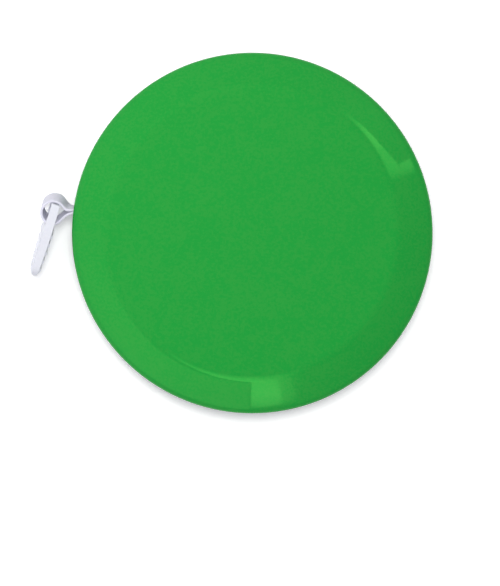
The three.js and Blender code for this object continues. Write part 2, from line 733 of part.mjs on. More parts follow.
// Half the tab's thickness at a distance from the crossbar.
function tabHalfThickness(u) {
  if (u < windowReach) {
    const t = (u + TAB_HEAD) / (windowReach + TAB_HEAD);
    return THREE.MathUtils.lerp(TAB_HEAD_THICKNESS, TAB_GRIP_THICKNESS, t) / 2;
  }
  const t = (u - windowReach) / (TAB_REACH - windowReach);
  return THREE.MathUtils.lerp(TAB_GRIP_THICKNESS, TAB_TIP_THICKNESS, t * t) / 2;
}

// The tab seen on edge: X runs from the crossbar to the tip, Y across its thickness.
function tabEdgeOutline() {
  const round = TAB_TIP_THICKNESS / 2;
  const stations = TAB_STATION_SHARES.map((share) => share * (TAB_REACH - round));
  const outline = new THREE.Shape();
  outline.moveTo(-TAB_HEAD, -tabHalfThickness(-TAB_HEAD));
  for (const u of stations) outline.lineTo(u, -tabHalfThickness(u));
  outline.absarc(TAB_REACH - round, 0, round, -Math.PI / 2, Math.PI / 2, false);
  for (const u of [...stations].reverse()) outline.lineTo(u, tabHalfThickness(u));
  outline.lineTo(-TAB_HEAD, tabHalfThickness(-TAB_HEAD));
  outline.closePath();
  return outline;
}

// The tab seen on its face: X as before, Y along the crossbar.
function tabFaceOutline() {
  const tipHalf = TAB_TIP_WIDTH / 2;
  const round = TAB_CORNER_ROUND;
  const outline = new THREE.Shape();
  outline.moveTo(-TAB_HEAD, -tabHalfWidth);
  outline.lineTo(windowReach, -tabHalfWidth);
  outline.lineTo(TAB_REACH - round, -tipHalf);
  outline.quadraticCurveTo(TAB_REACH, -tipHalf, TAB_REACH, -(tipHalf - round));
  outline.lineTo(TAB_REACH, tipHalf - round);
  outline.quadraticCurveTo(TAB_REACH, tipHalf, TAB_REACH - round, tipHalf);
  outline.lineTo(windowReach, tabHalfWidth);
  outline.lineTo(-TAB_HEAD, tabHalfWidth);
  outline.closePath();
  return outline;
}

// The pull tab in its own frame: X to the tip, Y across, Z along the crossbar.
function pullTab() {
  const edge = raise(tabEdgeOutline(), -tabHalfWidth, tabHalfWidth, EDGE_STEPS);
  const face = raise(tabFaceOutline(), -TAB_GRIP_THICKNESS, TAB_GRIP_THICKNESS, EDGE_STEPS);
  face.rotateX(Math.PI / 2);
  const window = block(
    [-(TAB_HEAD + OVERRUN), -TAB_GRIP_THICKNESS, -windowHalfWidth],
    [windowReach, TAB_GRIP_THICKNESS, windowHalfWidth],
  );
  const crossbarHalf = tabHalfWidth - TAB_SIDE_BAR / 2;
  const crossbar = ring(0, CROSSBAR_RADIUS, -crossbarHalf, crossbarHalf, SMALL_STEPS);
  const ribs = [];
  for (let u = windowReach + RIB_LEAD; u <= TAB_REACH - RIB_END; u += RIB_PITCH) {
    const share = (u - windowReach) / (TAB_REACH - windowReach);
    const half = THREE.MathUtils.lerp(tabHalfWidth, TAB_TIP_WIDTH / 2, share) - RIB_MARGIN;
    const offset = tabHalfThickness(u) + RIB_HEIGHT - RIB_RADIUS;
    for (const side of [1, -1]) {
      ribs.push(ring(0, RIB_RADIUS, -half, half, SMALL_STEPS / 2).translate(u, side * offset, 0));
    }
  }
  return join(cut(common(edge, face), window), crossbar, ...ribs);
}

// A named piece of the object.
function piece(name, made, material) {
  const mesh = new THREE.Mesh(geometryOf(made), material);
  mesh.name = name;
  return mesh;
}

const housing = new THREE.Group();
housing.add(
  piece("front_cover", frontCover(), greenPlastic),
  piece("back_cover", backCover(), greenPlastic),
  piece("arbor", arbor(), naturalPlastic),
  piece("brake_ring", brakeRing(), blackRubber),
  piece("wave_washer", waveWasher(), springSteel),
  piece("tape_lead", tapeLead(), whiteTape),
);

const drum = new THREE.Group();
drum.add(
  piece("drum_body", drumBody(), naturalPlastic),
  piece("drum_cap", drumCap(), naturalPlastic),
  piece("mainspring", mainspring(), springSteel),
  piece("thrust_washer", thrustWasher(), naturalPlastic),
  piece("tape_coil", tapeCoil(), whiteTape),
);

const tapeEnd = new THREE.Group();
tapeEnd.add(
  piece("tape_end_loop", tapeEndLoop(), whiteTape),
  piece("loop_eyelet", loopEyelet(), brass),
);

// The tab hangs on its crossbar, leaned with the loop and turned to its resting angle.
const tabHinge = new THREE.Group();
tabHinge.position.set(pivot.x, pivot.y, tapeMiddle);
tabHinge.rotation.x = LOOP_LEAN;
const tabSwing = new THREE.Group();
tabSwing.rotation.z = TAB_ANGLE;
tabSwing.add(piece("pull_tab", pullTab(), whitePlastic));
tabHinge.add(tabSwing);

const tapeMeasure = new THREE.Group();
tapeMeasure.add(housing, drum, piece("push_button", pushButton(), whitePlastic), tapeEnd, tabHinge);

export default tapeMeasure;
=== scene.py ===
"""The looks of a retractable tape measure for needlework, built round its fixed frame.

Metres, +Z up. The face of the case looks up, the tape leaves it along -X and the pull tab hangs in its end
loop.
"""

import json
import math

import bmesh
import bpy
from mathutils import Matrix, Vector


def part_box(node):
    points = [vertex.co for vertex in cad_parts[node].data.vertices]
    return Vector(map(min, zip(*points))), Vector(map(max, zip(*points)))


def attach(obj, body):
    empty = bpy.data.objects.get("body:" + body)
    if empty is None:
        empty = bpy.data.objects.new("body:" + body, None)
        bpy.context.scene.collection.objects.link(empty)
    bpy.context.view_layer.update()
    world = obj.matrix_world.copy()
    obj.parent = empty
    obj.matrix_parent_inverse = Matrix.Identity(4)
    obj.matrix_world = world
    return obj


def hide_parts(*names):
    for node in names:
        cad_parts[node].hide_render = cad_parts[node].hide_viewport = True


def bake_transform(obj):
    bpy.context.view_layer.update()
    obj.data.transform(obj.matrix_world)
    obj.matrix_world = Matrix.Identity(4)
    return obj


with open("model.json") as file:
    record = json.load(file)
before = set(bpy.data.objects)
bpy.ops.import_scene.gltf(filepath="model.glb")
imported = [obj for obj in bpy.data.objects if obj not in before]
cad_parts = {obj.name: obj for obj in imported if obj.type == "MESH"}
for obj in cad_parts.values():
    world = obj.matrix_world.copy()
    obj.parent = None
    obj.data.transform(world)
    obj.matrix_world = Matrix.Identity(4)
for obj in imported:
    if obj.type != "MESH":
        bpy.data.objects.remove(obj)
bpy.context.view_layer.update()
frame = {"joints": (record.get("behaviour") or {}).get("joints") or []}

bl_info = {
    "name": "Retractable Tape Measure",
    "version": (1, 0, 0),
    "blender": (4, 5, 0),
    "location": "3D View > Sidebar > Tape Measure",
    "description": "Round needlework tape measure with a sprung drum, a push button and a pull tab",
    "category": "Add Mesh",
}

MM = 0.001
FULL_TURN = 2 * math.pi


def low(node):
    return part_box(node)[0]


def high(node):
    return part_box(node)[1]


# Sizes and places that come from the frame
JOINTS = {joint["name"]: joint for joint in frame["joints"]}
CASE_RADIUS = high("back_cover").x
CASE_THICKNESS = high("front_cover").z
SEAM_HEIGHT = high("back_cover").z
TAPE_BOTTOM = low("tape_coil").z
TAPE_TOP = high("tape_coil").z
TAPE_WIDTH = TAPE_TOP - TAPE_BOTTOM
TAPE_MIDDLE = (TAPE_BOTTOM + TAPE_TOP) / 2
TAPE_REACH = JOINTS["tape_pull"]["range_m"][1]
FLANGE_RADIUS = high("drum_body").x
FLANGE_BOTTOM = low("drum_body").z
HUB_TOP = high("drum_body").z
CAP_TOP = high("drum_cap").z
DISH_BOTTOM = low("drum_cap").z
BRAKE_RADIUS = high("brake_ring").x
BRAKE_BOTTOM = low("brake_ring").z
BRAKE_TOP = high("brake_ring").z
WASHER_RADIUS = high("thrust_washer").x
THRUST_BOTTOM = low("thrust_washer").z
THRUST_TOP = high("thrust_washer").z
WAVE_BOTTOM = low("wave_washer").z
WAVE_TOP = high("wave_washer").z
ARBOR_RADIUS = high("arbor").x
ARBOR_BOTTOM = low("arbor").z
KEY_TOP = high("arbor").z
BUTTON_RECESS = low("push_button").z
BUTTON_TOP = high("push_button").z
SPRING_BOTTOM = low("mainspring").z
SPRING_TOP = high("mainspring").z
EYELET_REACH = high("loop_eyelet").y
EYELET_PLACE = Vector((*((low("loop_eyelet") + high("loop_eyelet")) / 2).xy, TAPE_MIDDLE))
PIVOT = Vector(JOINTS["tab_swing"]["pos_m"])
LOOP_LEAN = math.atan2(-JOINTS["tab_swing"]["axis"][1], JOINTS["tab_swing"]["axis"][2])

# The case
FACE_WALL = BRAKE_BOTTOM
SIDE_WALL = 1.5 * MM
CASE_INNER = CASE_RADIUS - SIDE_WALL
RIM_BAND = 4.85 * MM
FACE_RADIUS = CASE_RADIUS - RIM_BAND
BEVEL_DROP = 1.85 * MM
BEVEL_BULGE = 0.12 * MM
BEVEL_END = CASE_RADIUS - 0.7 * MM
CORNER_DROP = 0.8 * MM
SEAM_ROUND = 0.22 * MM
SEAM_HAIRLINE = 0.015 * MM
LAP_THICKNESS = 0.6 * MM
LAP_HEIGHT = 1 * MM
INNER_ROUND = 0.5 * MM
BOSS_RADIUS = 3.7 * MM
BOSS_BOTTOM = KEY_TOP - 0.95 * MM
KEY_ACROSS = 4.2 * MM
KEY_SIDES = 6
BUTTON_HOLE = 7.3 * MM
THUMB_RADIUS = 9.9 * MM
THUMB_DEPTH = 0.5 * MM
THUMB_ROUND = 6 * MM
LIP_ROUND = 0.15 * MM
PIN_RADIUS = 1 * MM
PINS = 4
SOCKET_WALL = 0.5 * MM

# The slot and its channel
SLOT_WIDTH = 1.9 * MM
SLOT_SPARE = 0.3 * MM
SLOT_LIP_ROUND = 0.6 * MM
SLOT_CORNER = 0.3 * MM
CHANNEL_LENGTH = 2.1 * MM
CHANNEL_END = CASE_INNER - CHANNEL_LENGTH
JAMB_THICKNESS = 0.9 * MM

# The tape
TAPE_THICKNESS = 0.35 * MM
TAPE_EDGE_ROUND = 0.09 * MM
LAYER_GAP = 0.09 * MM
LAYER_OFFSET = (TAPE_THICKNESS + LAYER_GAP) / 2
HUB_RADIUS = 12 * MM
COIL_INNER = HUB_RADIUS + 0.3 * MM
COIL_OUTER = FLANGE_RADIUS - 0.86 * MM
COIL_TURNS = 14
TAPE_TAIL = 0.65 * MM
LEAD_BEND = 1.3 * MM
STRETCH_ZONE = 0.08 * MM
STRETCH_STEPS = 8

# The end loop
LOOP_REACH = 2.75 * MM
LOOP_OFFSET = 0.25 * MM
LOOP_RADIUS = 1.62 * MM
LOOP_START = math.radians(46)
LOOP_END = math.radians(255)
LEAN_START = 1.3 * MM
LEAN_RUN = 3 * MM
FLANK_HANDLE_SHARE = 0.5
EYELET_RADIUS = 0.75 * MM
EYELET_WALL = 0.3 * MM
EYELET_FLANGE = 0.45 * MM
EYELET_FLANGE_THICKNESS = 0.2 * MM

# The pull tab, from its crossbar to its tip
TAB_ANGLE = math.radians(-100)
TAB_TWIST = math.radians(-1.1)
TAB_REACH = 10 * MM
TAB_HEAD = 0.74 * MM
TAB_HEAD_THICKNESS = 1.2 * MM
TAB_GRIP_THICKNESS = 1.3 * MM
TAB_TIP_THICKNESS = 0.9 * MM
WINDOW_REACH = 3 * MM
WINDOW_HALF = TAPE_WIDTH / 2 + 0.3 * MM
TAB_HALF = WINDOW_HALF + 0.8 * MM
TAB_TIP_HALF = 3.5 * MM
TAB_CORNER_ROUND = 1.6 * MM
WINDOW_CORNER_ROUND = 2 * MM
CROSSBAR_RADIUS = 0.52 * MM
RIB_LEAD = 0.95 * MM
RIB_MARGIN = 0.5 * MM
TAB_VOXEL = 0.055 * MM
TAB_SOFTENINGS = 5

# The drum, the spring and what they run on
CHAMBER_RADIUS = HUB_RADIUS - 1.1 * MM
FLANGE_THICKNESS = 0.8 * MM
CAP_THICKNESS = 0.7 * MM
CAP_BOTTOM = CAP_TOP - CAP_THICKNESS
CAP_PLUG_WALL = 0.5 * MM
CAP_PLUG_DEPTH = 0.6 * MM
DISH_RADIUS = 7 * MM
JOURNAL_RADIUS = ARBOR_RADIUS + 0.15 * MM
JOURNAL_WALL = 1.2 * MM
JOURNAL_HEIGHT = 0.3 * MM
ARBOR_BORE = 1.4 * MM
BORE_DEPTH = 5 * MM
BRAKE_BAND = 3.5 * MM
WASHER_BAND = 1.9 * MM
WAVE_THICKNESS = 0.2 * MM
WAVES = 3
SPRING_THICKNESS = 0.3 * MM
SPRING_TURNS = 7
SPRING_BEND = 0.5 * MM
TANG_START = ARBOR_BORE + 0.6 * MM
BUTTON_RADIUS = 7 * MM
BUTTON_WEB_TOP = 1.1 * MM
BUTTON_SKIRT = 1.2 * MM
BUTTON_EDGE_ROUND = 0.35 * MM
BUTTON_LIP = 1.2 * MM
BUTTON_LIP_BOTTOM = 1.3 * MM
BUTTON_RIM_TOP = 1.75 * MM
COLLAR_INNER = 3.3 * MM
COLLAR_WALL = 1.1 * MM
SPIGOT_RADIUS = 1.1 * MM
MOULD_ROUND = 0.12 * MM
LOOSE_GAP = 0.3 * MM
CLOSE_GAP = LOOSE_GAP / 3
OVERRUN = 1 * MM
TINY = 0.0001 * MM

# How finely round shapes are stepped
CASE_STEPS = 256
PART_STEPS = 128
SMALL_STEPS = 32
ROUND_STEPS = 6
CREASE_STEPS = 12
BEVEL_STEPS = 18
CORNER_STEPS = 8
HOLD = 0.12 * MM
SHARP_ANGLE = math.radians(32)
RIBBON_SHARP_ANGLE = math.radians(50)

# The photograph's frame and where the case stands in it
PHOTO_WIDTH = 500
PHOTO_HEIGHT = 586
CASE_CENTRE_PIXEL = Vector((252.3, 233.2))
CASE_RADIUS_PIXELS = 180
PHOTO_TURN = math.radians(7.4)
CAMERA_DISTANCE = 1.5
SENSOR = 36


# Settings
def colour_setting(name, description, default):
    return bpy.props.FloatVectorProperty(
        name=name, description=description, default=default, size=3, subtype="COLOR", min=0, max=1,
    )


def length_setting(name, description, default):
    return bpy.props.FloatProperty(
        name=name, description=description, default=default, min=TINY, unit="LENGTH",
    )


def level_setting(name, description, default):
    return bpy.props.FloatProperty(name=name, description=description, default=default, min=0)


class CaseSettings(bpy.types.PropertyGroup):
    crease_reach: length_setting(
        "Crease reach", "How far the round between face and bevel reaches into the bevel", 0.63 * MM,
    )
    plastic: colour_setting("Plastic", "Colour of the case's plastic", (0.021, 0.33, 0.048))
    sheen: colour_setting("Reflection tint", "Colour of the gloss on the case", (0.2, 1.0, 0.17))
    gloss: bpy.props.FloatProperty(
        name="Roughness", description="Roughness of the polished case", default=0.04, min=0, max=1,
        subtype="FACTOR",
    )


class TapeSettings(bpy.types.PropertyGroup):
    coating: colour_setting("Coating", "Colour of the tape's coating", (0.77, 0.765, 0.86))
    ink: colour_setting("Ink", "Colour of the printed scale", (0.02, 0.02, 0.025))
    thread: length_setting("Thread", "Spacing of the threads in the tape", 0.35 * MM)


class TabSettings(bpy.types.PropertyGroup):
    plastic: colour_setting("Plastic", "Colour of the tab and the button", (0.785, 0.80, 0.86))
    ribs: bpy.props.IntProperty(
        name="Ribs", description="Grip ribs on each face of the tab", default=5, min=1, max=12,
    )
    rib_pitch: length_setting("Rib pitch", "From one grip rib to the next", 1.25 * MM)
    rib_radius: length_setting("Rib radius", "Radius of a grip rib", 0.5 * MM)
    rib_height: length_setting("Rib height", "How far a grip rib stands proud", 0.28 * MM)


class StageSettings(bpy.types.PropertyGroup):
    floor: colour_setting("Floor", "Colour of the floor", (0.86, 0.86, 0.87))
    surround: level_setting("Surround", "Level of the light from all sides", 0.46)
    glow: level_setting("Window glow", "Brightness of the windows that the rim mirrors", 3.7)


SETTINGS = {
    "tape_measure_case": CaseSettings,
    "tape_measure_tape": TapeSettings,
    "tape_measure_tab": TabSettings,
    "tape_measure_stage": StageSettings,
}


# Mesh tools
def new_object(name, data):
    made = bpy.data.objects.new(name, data)
    bpy.context.scene.collection.objects.link(made)
    return made


def from_mesh_work(name, work):
    """An object from closed faces, with its normals pointing out."""
    bmesh.ops.recalc_face_normals(work, faces=work.faces)
    mesh = bpy.data.meshes.new(name)
    work.to_mesh(mesh)
    work.free()
    return new_object(name, mesh)


def settled(made):
    """The object with its modifiers worked into a plain mesh, and a curve made a mesh."""
    graph = bpy.context.evaluated_depsgraph_get()
    mesh = bpy.data.meshes.new_from_object(made.evaluated_get(graph))
    if made.type == "MESH":
        made.modifiers.clear()
        made.data = mesh
        return made
    name = made.name
    bpy.data.objects.remove(made)
    return new_object(name, mesh)


def combine(first, second, operation):
    """first joined with, cut by or kept within second, which is used up."""
    modifier = first.modifiers.new("combine", "BOOLEAN")
    modifier.operation = operation
    modifier.solver = "MANIFOLD"
    modifier.object = second
    settled(first)
    bpy.data.objects.remove(second)
    return first


def smooth(made, angle=SHARP_ANGLE):
    made.data.shade_smooth()
    made.data.set_sharp_from_angle(angle=angle)
    return made


def crisp(made):
    """Smooth shading that keeps large flat faces flat beside rounded edges."""
    modifier = smooth(made).modifiers.new("weighted", "WEIGHTED_NORMAL")
    modifier.keep_sharp = True
    modifier.mode = "FACE_AREA"
    return settled(made)


def polar(radius, angle, centre=(0, 0)):
    """A point in plan, at a radius and an angle from a centre."""
    return Vector((centre[0] + radius * math.cos(angle), centre[1] + radius * math.sin(angle)))


def arc_points(centre, radius, start, end, steps):
    return [polar(radius, start + (end - start) * i / steps, centre) for i in range(steps + 1)]


def spiral(first, last, start, end, steps):
    """Points round the origin, from one radius and angle to another."""
    return [
        polar(first + (last - first) * i / steps, start + (end - start) * i / steps) for i in range(steps + 1)
    ]


def bezier(controls, steps):
    """A smooth run from the first of its control points to the last."""
    points = []
    for i in range(steps + 1):
        run = controls
        while len(run) > 1:
            run = [first.lerp(second, i / steps) for first, second in zip(run, run[1:])]
        points.append(run[0])
    return points


def rounded(corners, steps=ROUND_STEPS):
    """A closed outline of (x, y, radius) corners, each rounded by an arc."""
    points = []
    for i, (x, y, radius) in enumerate(corners):
        corner = Vector((x, y))
        before = Vector(corners[i - 1][:2]) - corner
        after = Vector(corners[(i + 1) % len(corners)][:2]) - corner
        half = before.angle(after) / 2
        if radius == 0 or math.pi / 2 - half < TINY:
            points.append(corner)
            continue
        reach = min(radius / math.tan(half), before.length / 2, after.length / 2)
        inwards = (before.normalized() + after.normalized()).normalized()
        centre = corner + inwards * (reach / math.cos(half))
        start = corner + before.normalized() * reach - centre
        end = corner + after.normalized() * reach - centre
        bend = -start.angle_signed(end)
        for step in range(steps + 1):
            points.append(centre + Matrix.Rotation(bend * step / steps, 2) @ start)
    return [(point.x, point.y) for point in points]


def rounded_box(left, right, bottom, top, radius, steps=ROUND_STEPS):
    """The outline of a rectangle with rounded corners."""
    corners = ((left, bottom), (right, bottom), (right, top), (left, top))
    return rounded([(*corner, radius) for corner in corners], steps)


def held(outline):
    """The outline with a point just inside both ends of each long stretch, so that flats shade flat."""
    points = []
    for start, end in zip(outline, [*outline[1:], outline[0]]):
        start, end = Vector(start), Vector(end)
        points.append(tuple(start))
        if (end - start).length > 3 * HOLD:
            step = (end - start).normalized() * HOLD
            points += [tuple(start + step), tuple(end - step)]
    return points


def turned(name, outline, steps=PART_STEPS):
    """A closed outline of (radius, height) points turned round Z."""
    work = bmesh.new()
    rings = []
    for radius, height in held(outline):
        if radius < TINY:
            rings.append([work.verts.new((0, 0, height))])
            continue
        rings.append([work.verts.new((*polar(radius, FULL_TURN * i / steps), height)) for i in range(steps)])
    for inner, outer in zip(rings, [*rings[1:], rings[0]]):
        if len(inner) == len(outer) == 1:
            continue
        for i in range(steps):
            ends = [(ring[i % len(ring)], ring[(i + 1) % len(ring)]) for ring in (inner, outer)]
            work.faces.new(list(dict.fromkeys((*ends[0], *reversed(ends[1])))))
    return from_mesh_work(name, work)


def lofted(name, sections, closed=False):
    """A skin over closed sections of 3-D points. It has flat ends, or is closed to a ring."""
    work = bmesh.new()
    rings = [[work.verts.new(point) for point in section] for section in sections]
    count = len(rings[0])
    for first, second in zip(rings, [*rings[1:], rings[0]] if closed else rings[1:]):
        for i in range(count):
            j = (i + 1) % count
            work.faces.new((first[i], first[j], second[j], second[i]))
    if not closed:
        work.faces.new(rings[0])
        work.faces.new(rings[-1])
    return from_mesh_work(name, work)


def prism(name, outline, bottom, top):
    """An outline in plan raised from one height to another."""
    return lofted(name, [[(x, y, height) for x, y in outline] for height in (bottom, top)])


def post(name, place, radius, bottom, top, steps=SMALL_STEPS):
    """An upright round post."""
    return prism(name, [polar(radius, FULL_TURN * i / steps, place) for i in range(steps)], bottom, top)


def hexagon(name, across, bottom, top):
    """An upright hexagonal post on the axis, by the distance across its flats."""
    return post(name, (0, 0), across / 2 / math.cos(math.pi / KEY_SIDES), bottom, top, KEY_SIDES)


def block(name, corner, opposite):
    xs, ys, zs = zip(corner, opposite)
    return prism(name, [(xs[0], ys[0]), (xs[1], ys[0]), (xs[1], ys[1]), (xs[0], ys[1])], *zs)


def moved(made, matrix):
    made.data.transform(matrix)
    return made


# Node tools
def feed(tree, made, inputs):
    """Gives a node its inputs, as values or as sockets to link from."""
    for key, value in dict(inputs).items():
        if isinstance(value, bpy.types.NodeSocket):
            tree.links.new(value, made.inputs[key])
        else:
            made.inputs[key].default_value = value


def node(tree, kind, inputs=(), **choices):
    """A node with its choices and its inputs set."""
    made = tree.nodes.new(kind)
    for name, value in choices.items():
        setattr(made, name, value)
    feed(tree, made, inputs)
    return made


def maths(tree, operation, *values):
    return node(tree, "ShaderNodeMath", enumerate(values), operation=operation).outputs[0]


def apart(tree, vector):
    return node(tree, "ShaderNodeSeparateXYZ", {"Vector": vector}).outputs


def joined(tree, **parts):
    return node(tree, "ShaderNodeCombineXYZ", parts).outputs["Vector"]


def noise(tree, place, scale, detail, **more):
    inputs = {"Vector": place, "Scale": scale, "Detail": detail, **more}
    return node(tree, "ShaderNodeTexNoise", inputs).outputs["Fac"]


def ranged(tree, value, least, most, **choices):
    """How far a value is on its way from the least to the most, from 0 to 1."""
    inputs = {"Value": value, "From Min": least, "From Max": most}
    return node(tree, "ShaderNodeMapRange", inputs, **choices).outputs["Result"]


def mixed(tree, share, first, second):
    """A colour on its way from the first to the second."""
    inputs = {"Factor": share, "A": first, "B": second}
    return node(tree, "ShaderNodeMix", inputs, data_type="RGBA", clamp_factor=True).outputs["Result"]


def bumped(tree, height, strength, distance):
    """The normal of a surface with a fine relief."""
    inputs = {"Height": height, "Strength": strength, "Distance": distance}
    return node(tree, "ShaderNodeBump", inputs).outputs["Normal"]


def group_tree(name, kind, inputs, outputs):
    """A node tree with named sockets, what it is given and the node that takes what it puts out."""
    tree = bpy.data.node_groups.new(name, kind)
    for way, sockets in (("INPUT", inputs), ("OUTPUT", outputs)):
        for label, socket_kind, *default in sockets:
            socket = tree.interface.new_socket(label, in_out=way, socket_type="NodeSocket" + socket_kind)
            if default:
                socket.default_value = default[0]
    return tree, tree.nodes.new("NodeGroupInput").outputs, tree.nodes.new("NodeGroupOutput")


# Pigment: the size of its patches, the streaks' fineness and share beside them, and the part of the noise
# that blends
PIGMENT_PATCH = 0.4 * MM
STREAK_SCALE = 0.09
STREAK_SHARE = 0.3
PIGMENT_SPREAD = (0.4, 0.6)

# Skin: the smudges' fineness beside the peel, and the least roughness
SMUDGE_SCALE = 0.12
LEAST_ROUGHNESS = 0.02

# Scratches: the angle of each family and how far it is drawn out, their fineness in plan and in height, the
# part of the noise that shows, and how much they dull the gloss
SCRATCHES = ((0.5, 0.02), (1.9, 0.03), (2.7, 0.015))
SCRATCH_FINENESS = (3000, 900)
SCRATCH_SPREAD = (0.74, 0.8)
SCRATCH_DULLING = 0.3

# Fuzz of the tape's threads: its fineness, what it adds to the relief and to the roughness
FUZZ_SCALE = 4000.0
FUZZ_RELIEF = 0.25
FUZZ_DULLING = 0.2

# How much the grain of a metal dulls it, and the tone of its clouds
GRAIN_DULLING = 0.16
METAL_CLOUDS = (0.7, 0.7, 0.7)


def mottle_group():
    """Pigment that isn't mixed in evenly: small patches and long soft streaks in a moulded colour."""
    tree, given, out = group_tree(
        "Mottled Pigment", "ShaderNodeTree",
        [("Color", "Color", (1, 1, 1, 1)), ("Second Color", "Color", (1, 1, 1, 1)),
         ("Patch Size", "Float", MM), ("Strength", "Float", 0.1)],
        [("Color", "Color")],
    )
    place = node(tree, "ShaderNodeTexCoord").outputs["Object"]
    scale = maths(tree, "DIVIDE", 1.0, given["Patch Size"])
    patches = noise(tree, place, scale, detail=3.0, Roughness=0.6)
    streaks = noise(tree, place, maths(tree, "MULTIPLY", scale, STREAK_SCALE), detail=2.0, Distortion=1.4)
    streaks = maths(tree, "MULTIPLY", streaks, STREAK_SHARE)
    both = maths(tree, "MULTIPLY_ADD", patches, 1 - STREAK_SHARE, streaks)
    spread = ranged(tree, both, *PIGMENT_SPREAD, interpolation_type="SMOOTHSTEP")
    share = maths(tree, "MULTIPLY", spread, given["Strength"])
    feed(tree, out, {"Color": mixed(tree, share, given["Color"], given["Second Color"])})
    return tree


def skin_group():
    """The skin of a moulding: faint orange peel, soft smudges in the gloss and a few hair scratches."""
    tree, given, out = group_tree(
        "Moulded Skin", "ShaderNodeTree",
        [("Roughness", "Float", 0.2), ("Smudge", "Float", 0.05), ("Peel Size", "Float", MM),
         ("Scratches", "Float", 0.1)],
        [("Roughness", "Float"), ("Height", "Float")],
    )
    place = node(tree, "ShaderNodeTexCoord").outputs["Object"]
    scale = maths(tree, "DIVIDE", 1.0, given["Peel Size"])
    peel = noise(tree, place, scale, detail=1.0)
    smudge = noise(tree, place, maths(tree, "MULTIPLY", scale, SMUDGE_SCALE), detail=4.0)
    plan, height = SCRATCH_FINENESS
    scratches = 0.0
    for angle, stretch in SCRATCHES:
        inputs = {"Vector": place, "Rotation": (0, 0, angle), "Scale": (stretch * plan, plan, height)}
        drawn_out = node(tree, "ShaderNodeMapping", inputs).outputs["Vector"]
        thin = ranged(tree, noise(tree, drawn_out, scale=1.0, detail=0.0), *SCRATCH_SPREAD)
        scratches = maths(tree, "MAXIMUM", thin, scratches)
    scratched = maths(tree, "MULTIPLY", scratches, given["Scratches"])
    swing = maths(tree, "MULTIPLY", maths(tree, "SUBTRACT", smudge, 0.5), given["Smudge"])
    smudged = maths(tree, "ADD", given["Roughness"], swing)
    rough = maths(tree, "ADD", smudged, maths(tree, "MULTIPLY", scratched, SCRATCH_DULLING))
    feed(tree, out, {
        "Roughness": maths(tree, "MAXIMUM", rough, LEAST_ROUGHNESS),
        "Height": maths(tree, "SUBTRACT", peel, scratched),
    })
    return tree


def weave_group():
    """Crossed threads under a coating, over the tape's own length and width."""
    tree, given, out = group_tree(
        "Coated Weave", "ShaderNodeTree",
        [("Place", "Vector"), ("Thread", "Float", 0.35 * MM)],
        [("Height", "Float"), ("Fuzz", "Float")],
    )
    parts = apart(tree, given["Place"])
    phase = maths(tree, "DIVIDE", math.pi, given["Thread"])
    along, across = (
        maths(tree, "ABSOLUTE", maths(tree, "SINE", maths(tree, "MULTIPLY", parts[axis], phase)))
        for axis in "XY"
    )
    feed(tree, out, {
        "Height": maths(tree, "MULTIPLY", along, across),
        "Fuzz": noise(tree, given["Place"], FUZZ_SCALE, detail=3.0),
    })
    return tree


def mark_group():
    """Where a scale's marks are inked: a mark at every pitch, reaching in from the tape's edge."""
    tree, given, out = group_tree(
        "Scale Marks", "ShaderNodeTree",
        [("Reading", "Float"), ("From Edge", "Float"), ("Pitch", "Float", MM), ("Length", "Float", MM),
         ("Line", "Float", 0.1 * MM)],
        [("Ink", "Float")],
    )
    off = maths(tree, "PINGPONG", given["Reading"], maths(tree, "MULTIPLY", given["Pitch"], 0.5))
    on_line = maths(tree, "LESS_THAN", off, maths(tree, "MULTIPLY", given["Line"], 0.5))
    in_reach = maths(tree, "LESS_THAN", given["From Edge"], given["Length"])
    feed(tree, out, {"Ink": maths(tree, "MULTIPLY", on_line, in_reach)})
    return tree


# Lit strokes of a block numeral: middle, half size, and the digits that show the stroke
STROKE = 0.16
NUMERAL_STROKES = (
    ((0, 1), (0.5, STROKE), "02356789"),
    ((0, 0), (0.5, STROKE), "2345689"),
    ((0, -1), (0.5, STROKE), "0235689"),
    ((-0.5, 0.5), (STROKE, 0.5), "045689"),
    ((0.5, 0.5), (STROKE, 0.5), "01234789"),
    ((-0.5, -0.5), (STROKE, 0.5), "0268"),
    ((0.5, -0.5), (STROKE, 0.5), "013456789"),
)


def numeral_group():
    """Where a block numeral from 0 to 9 is inked, in a cell that reaches from -1 to 1."""
    tree, given, out = group_tree(
        "Block Numeral", "ShaderNodeTree",
        [("Digit", "Float"), ("X", "Float"), ("Y", "Float")],
        [("Ink", "Float")],
    )
    ink = 0.0
    factor = maths(tree, "DIVIDE", maths(tree, "ADD", given["Digit"], 0.5), 10.0)
    for (x, y), (half_x, half_y), digits in NUMERAL_STROKES:
        ramp = node(tree, "ShaderNodeValToRGB", {"Fac": factor})
        ramp.color_ramp.interpolation = "CONSTANT"
        for digit in range(10):
            stop = ramp.color_ramp.elements[0] if digit == 0 else ramp.color_ramp.elements.new(digit / 10)
            lit = float(str(digit) in digits)
            stop.color = (lit, lit, lit, 1)
        ramp.color_ramp.elements.remove(ramp.color_ramp.elements[-1])
        near_x = maths(tree, "COMPARE", given["X"], x, half_x + STROKE * (half_x != STROKE))
        near_y = maths(tree, "COMPARE", given["Y"], y, half_y + STROKE * (half_y != STROKE))
        stroke = maths(tree, "MULTIPLY", maths(tree, "MULTIPLY", near_x, near_y), ramp.outputs["Color"])
        ink = maths(tree, "MAXIMUM", stroke, ink)
    feed(tree, out, {"Ink": ink})
    return tree


def group(name):
    """A shared node group, built the first time that it is asked for."""
    builders = {
        "Mottled Pigment": mottle_group, "Moulded Skin": skin_group, "Coated Weave": weave_group,
        "Scale Marks": mark_group, "Block Numeral": numeral_group,
    }
    return bpy.data.node_groups.get(name) or builders[name]()


def use_group(tree, name, inputs):
    return node(tree, "ShaderNodeGroup", inputs, node_tree=group(name)).outputs


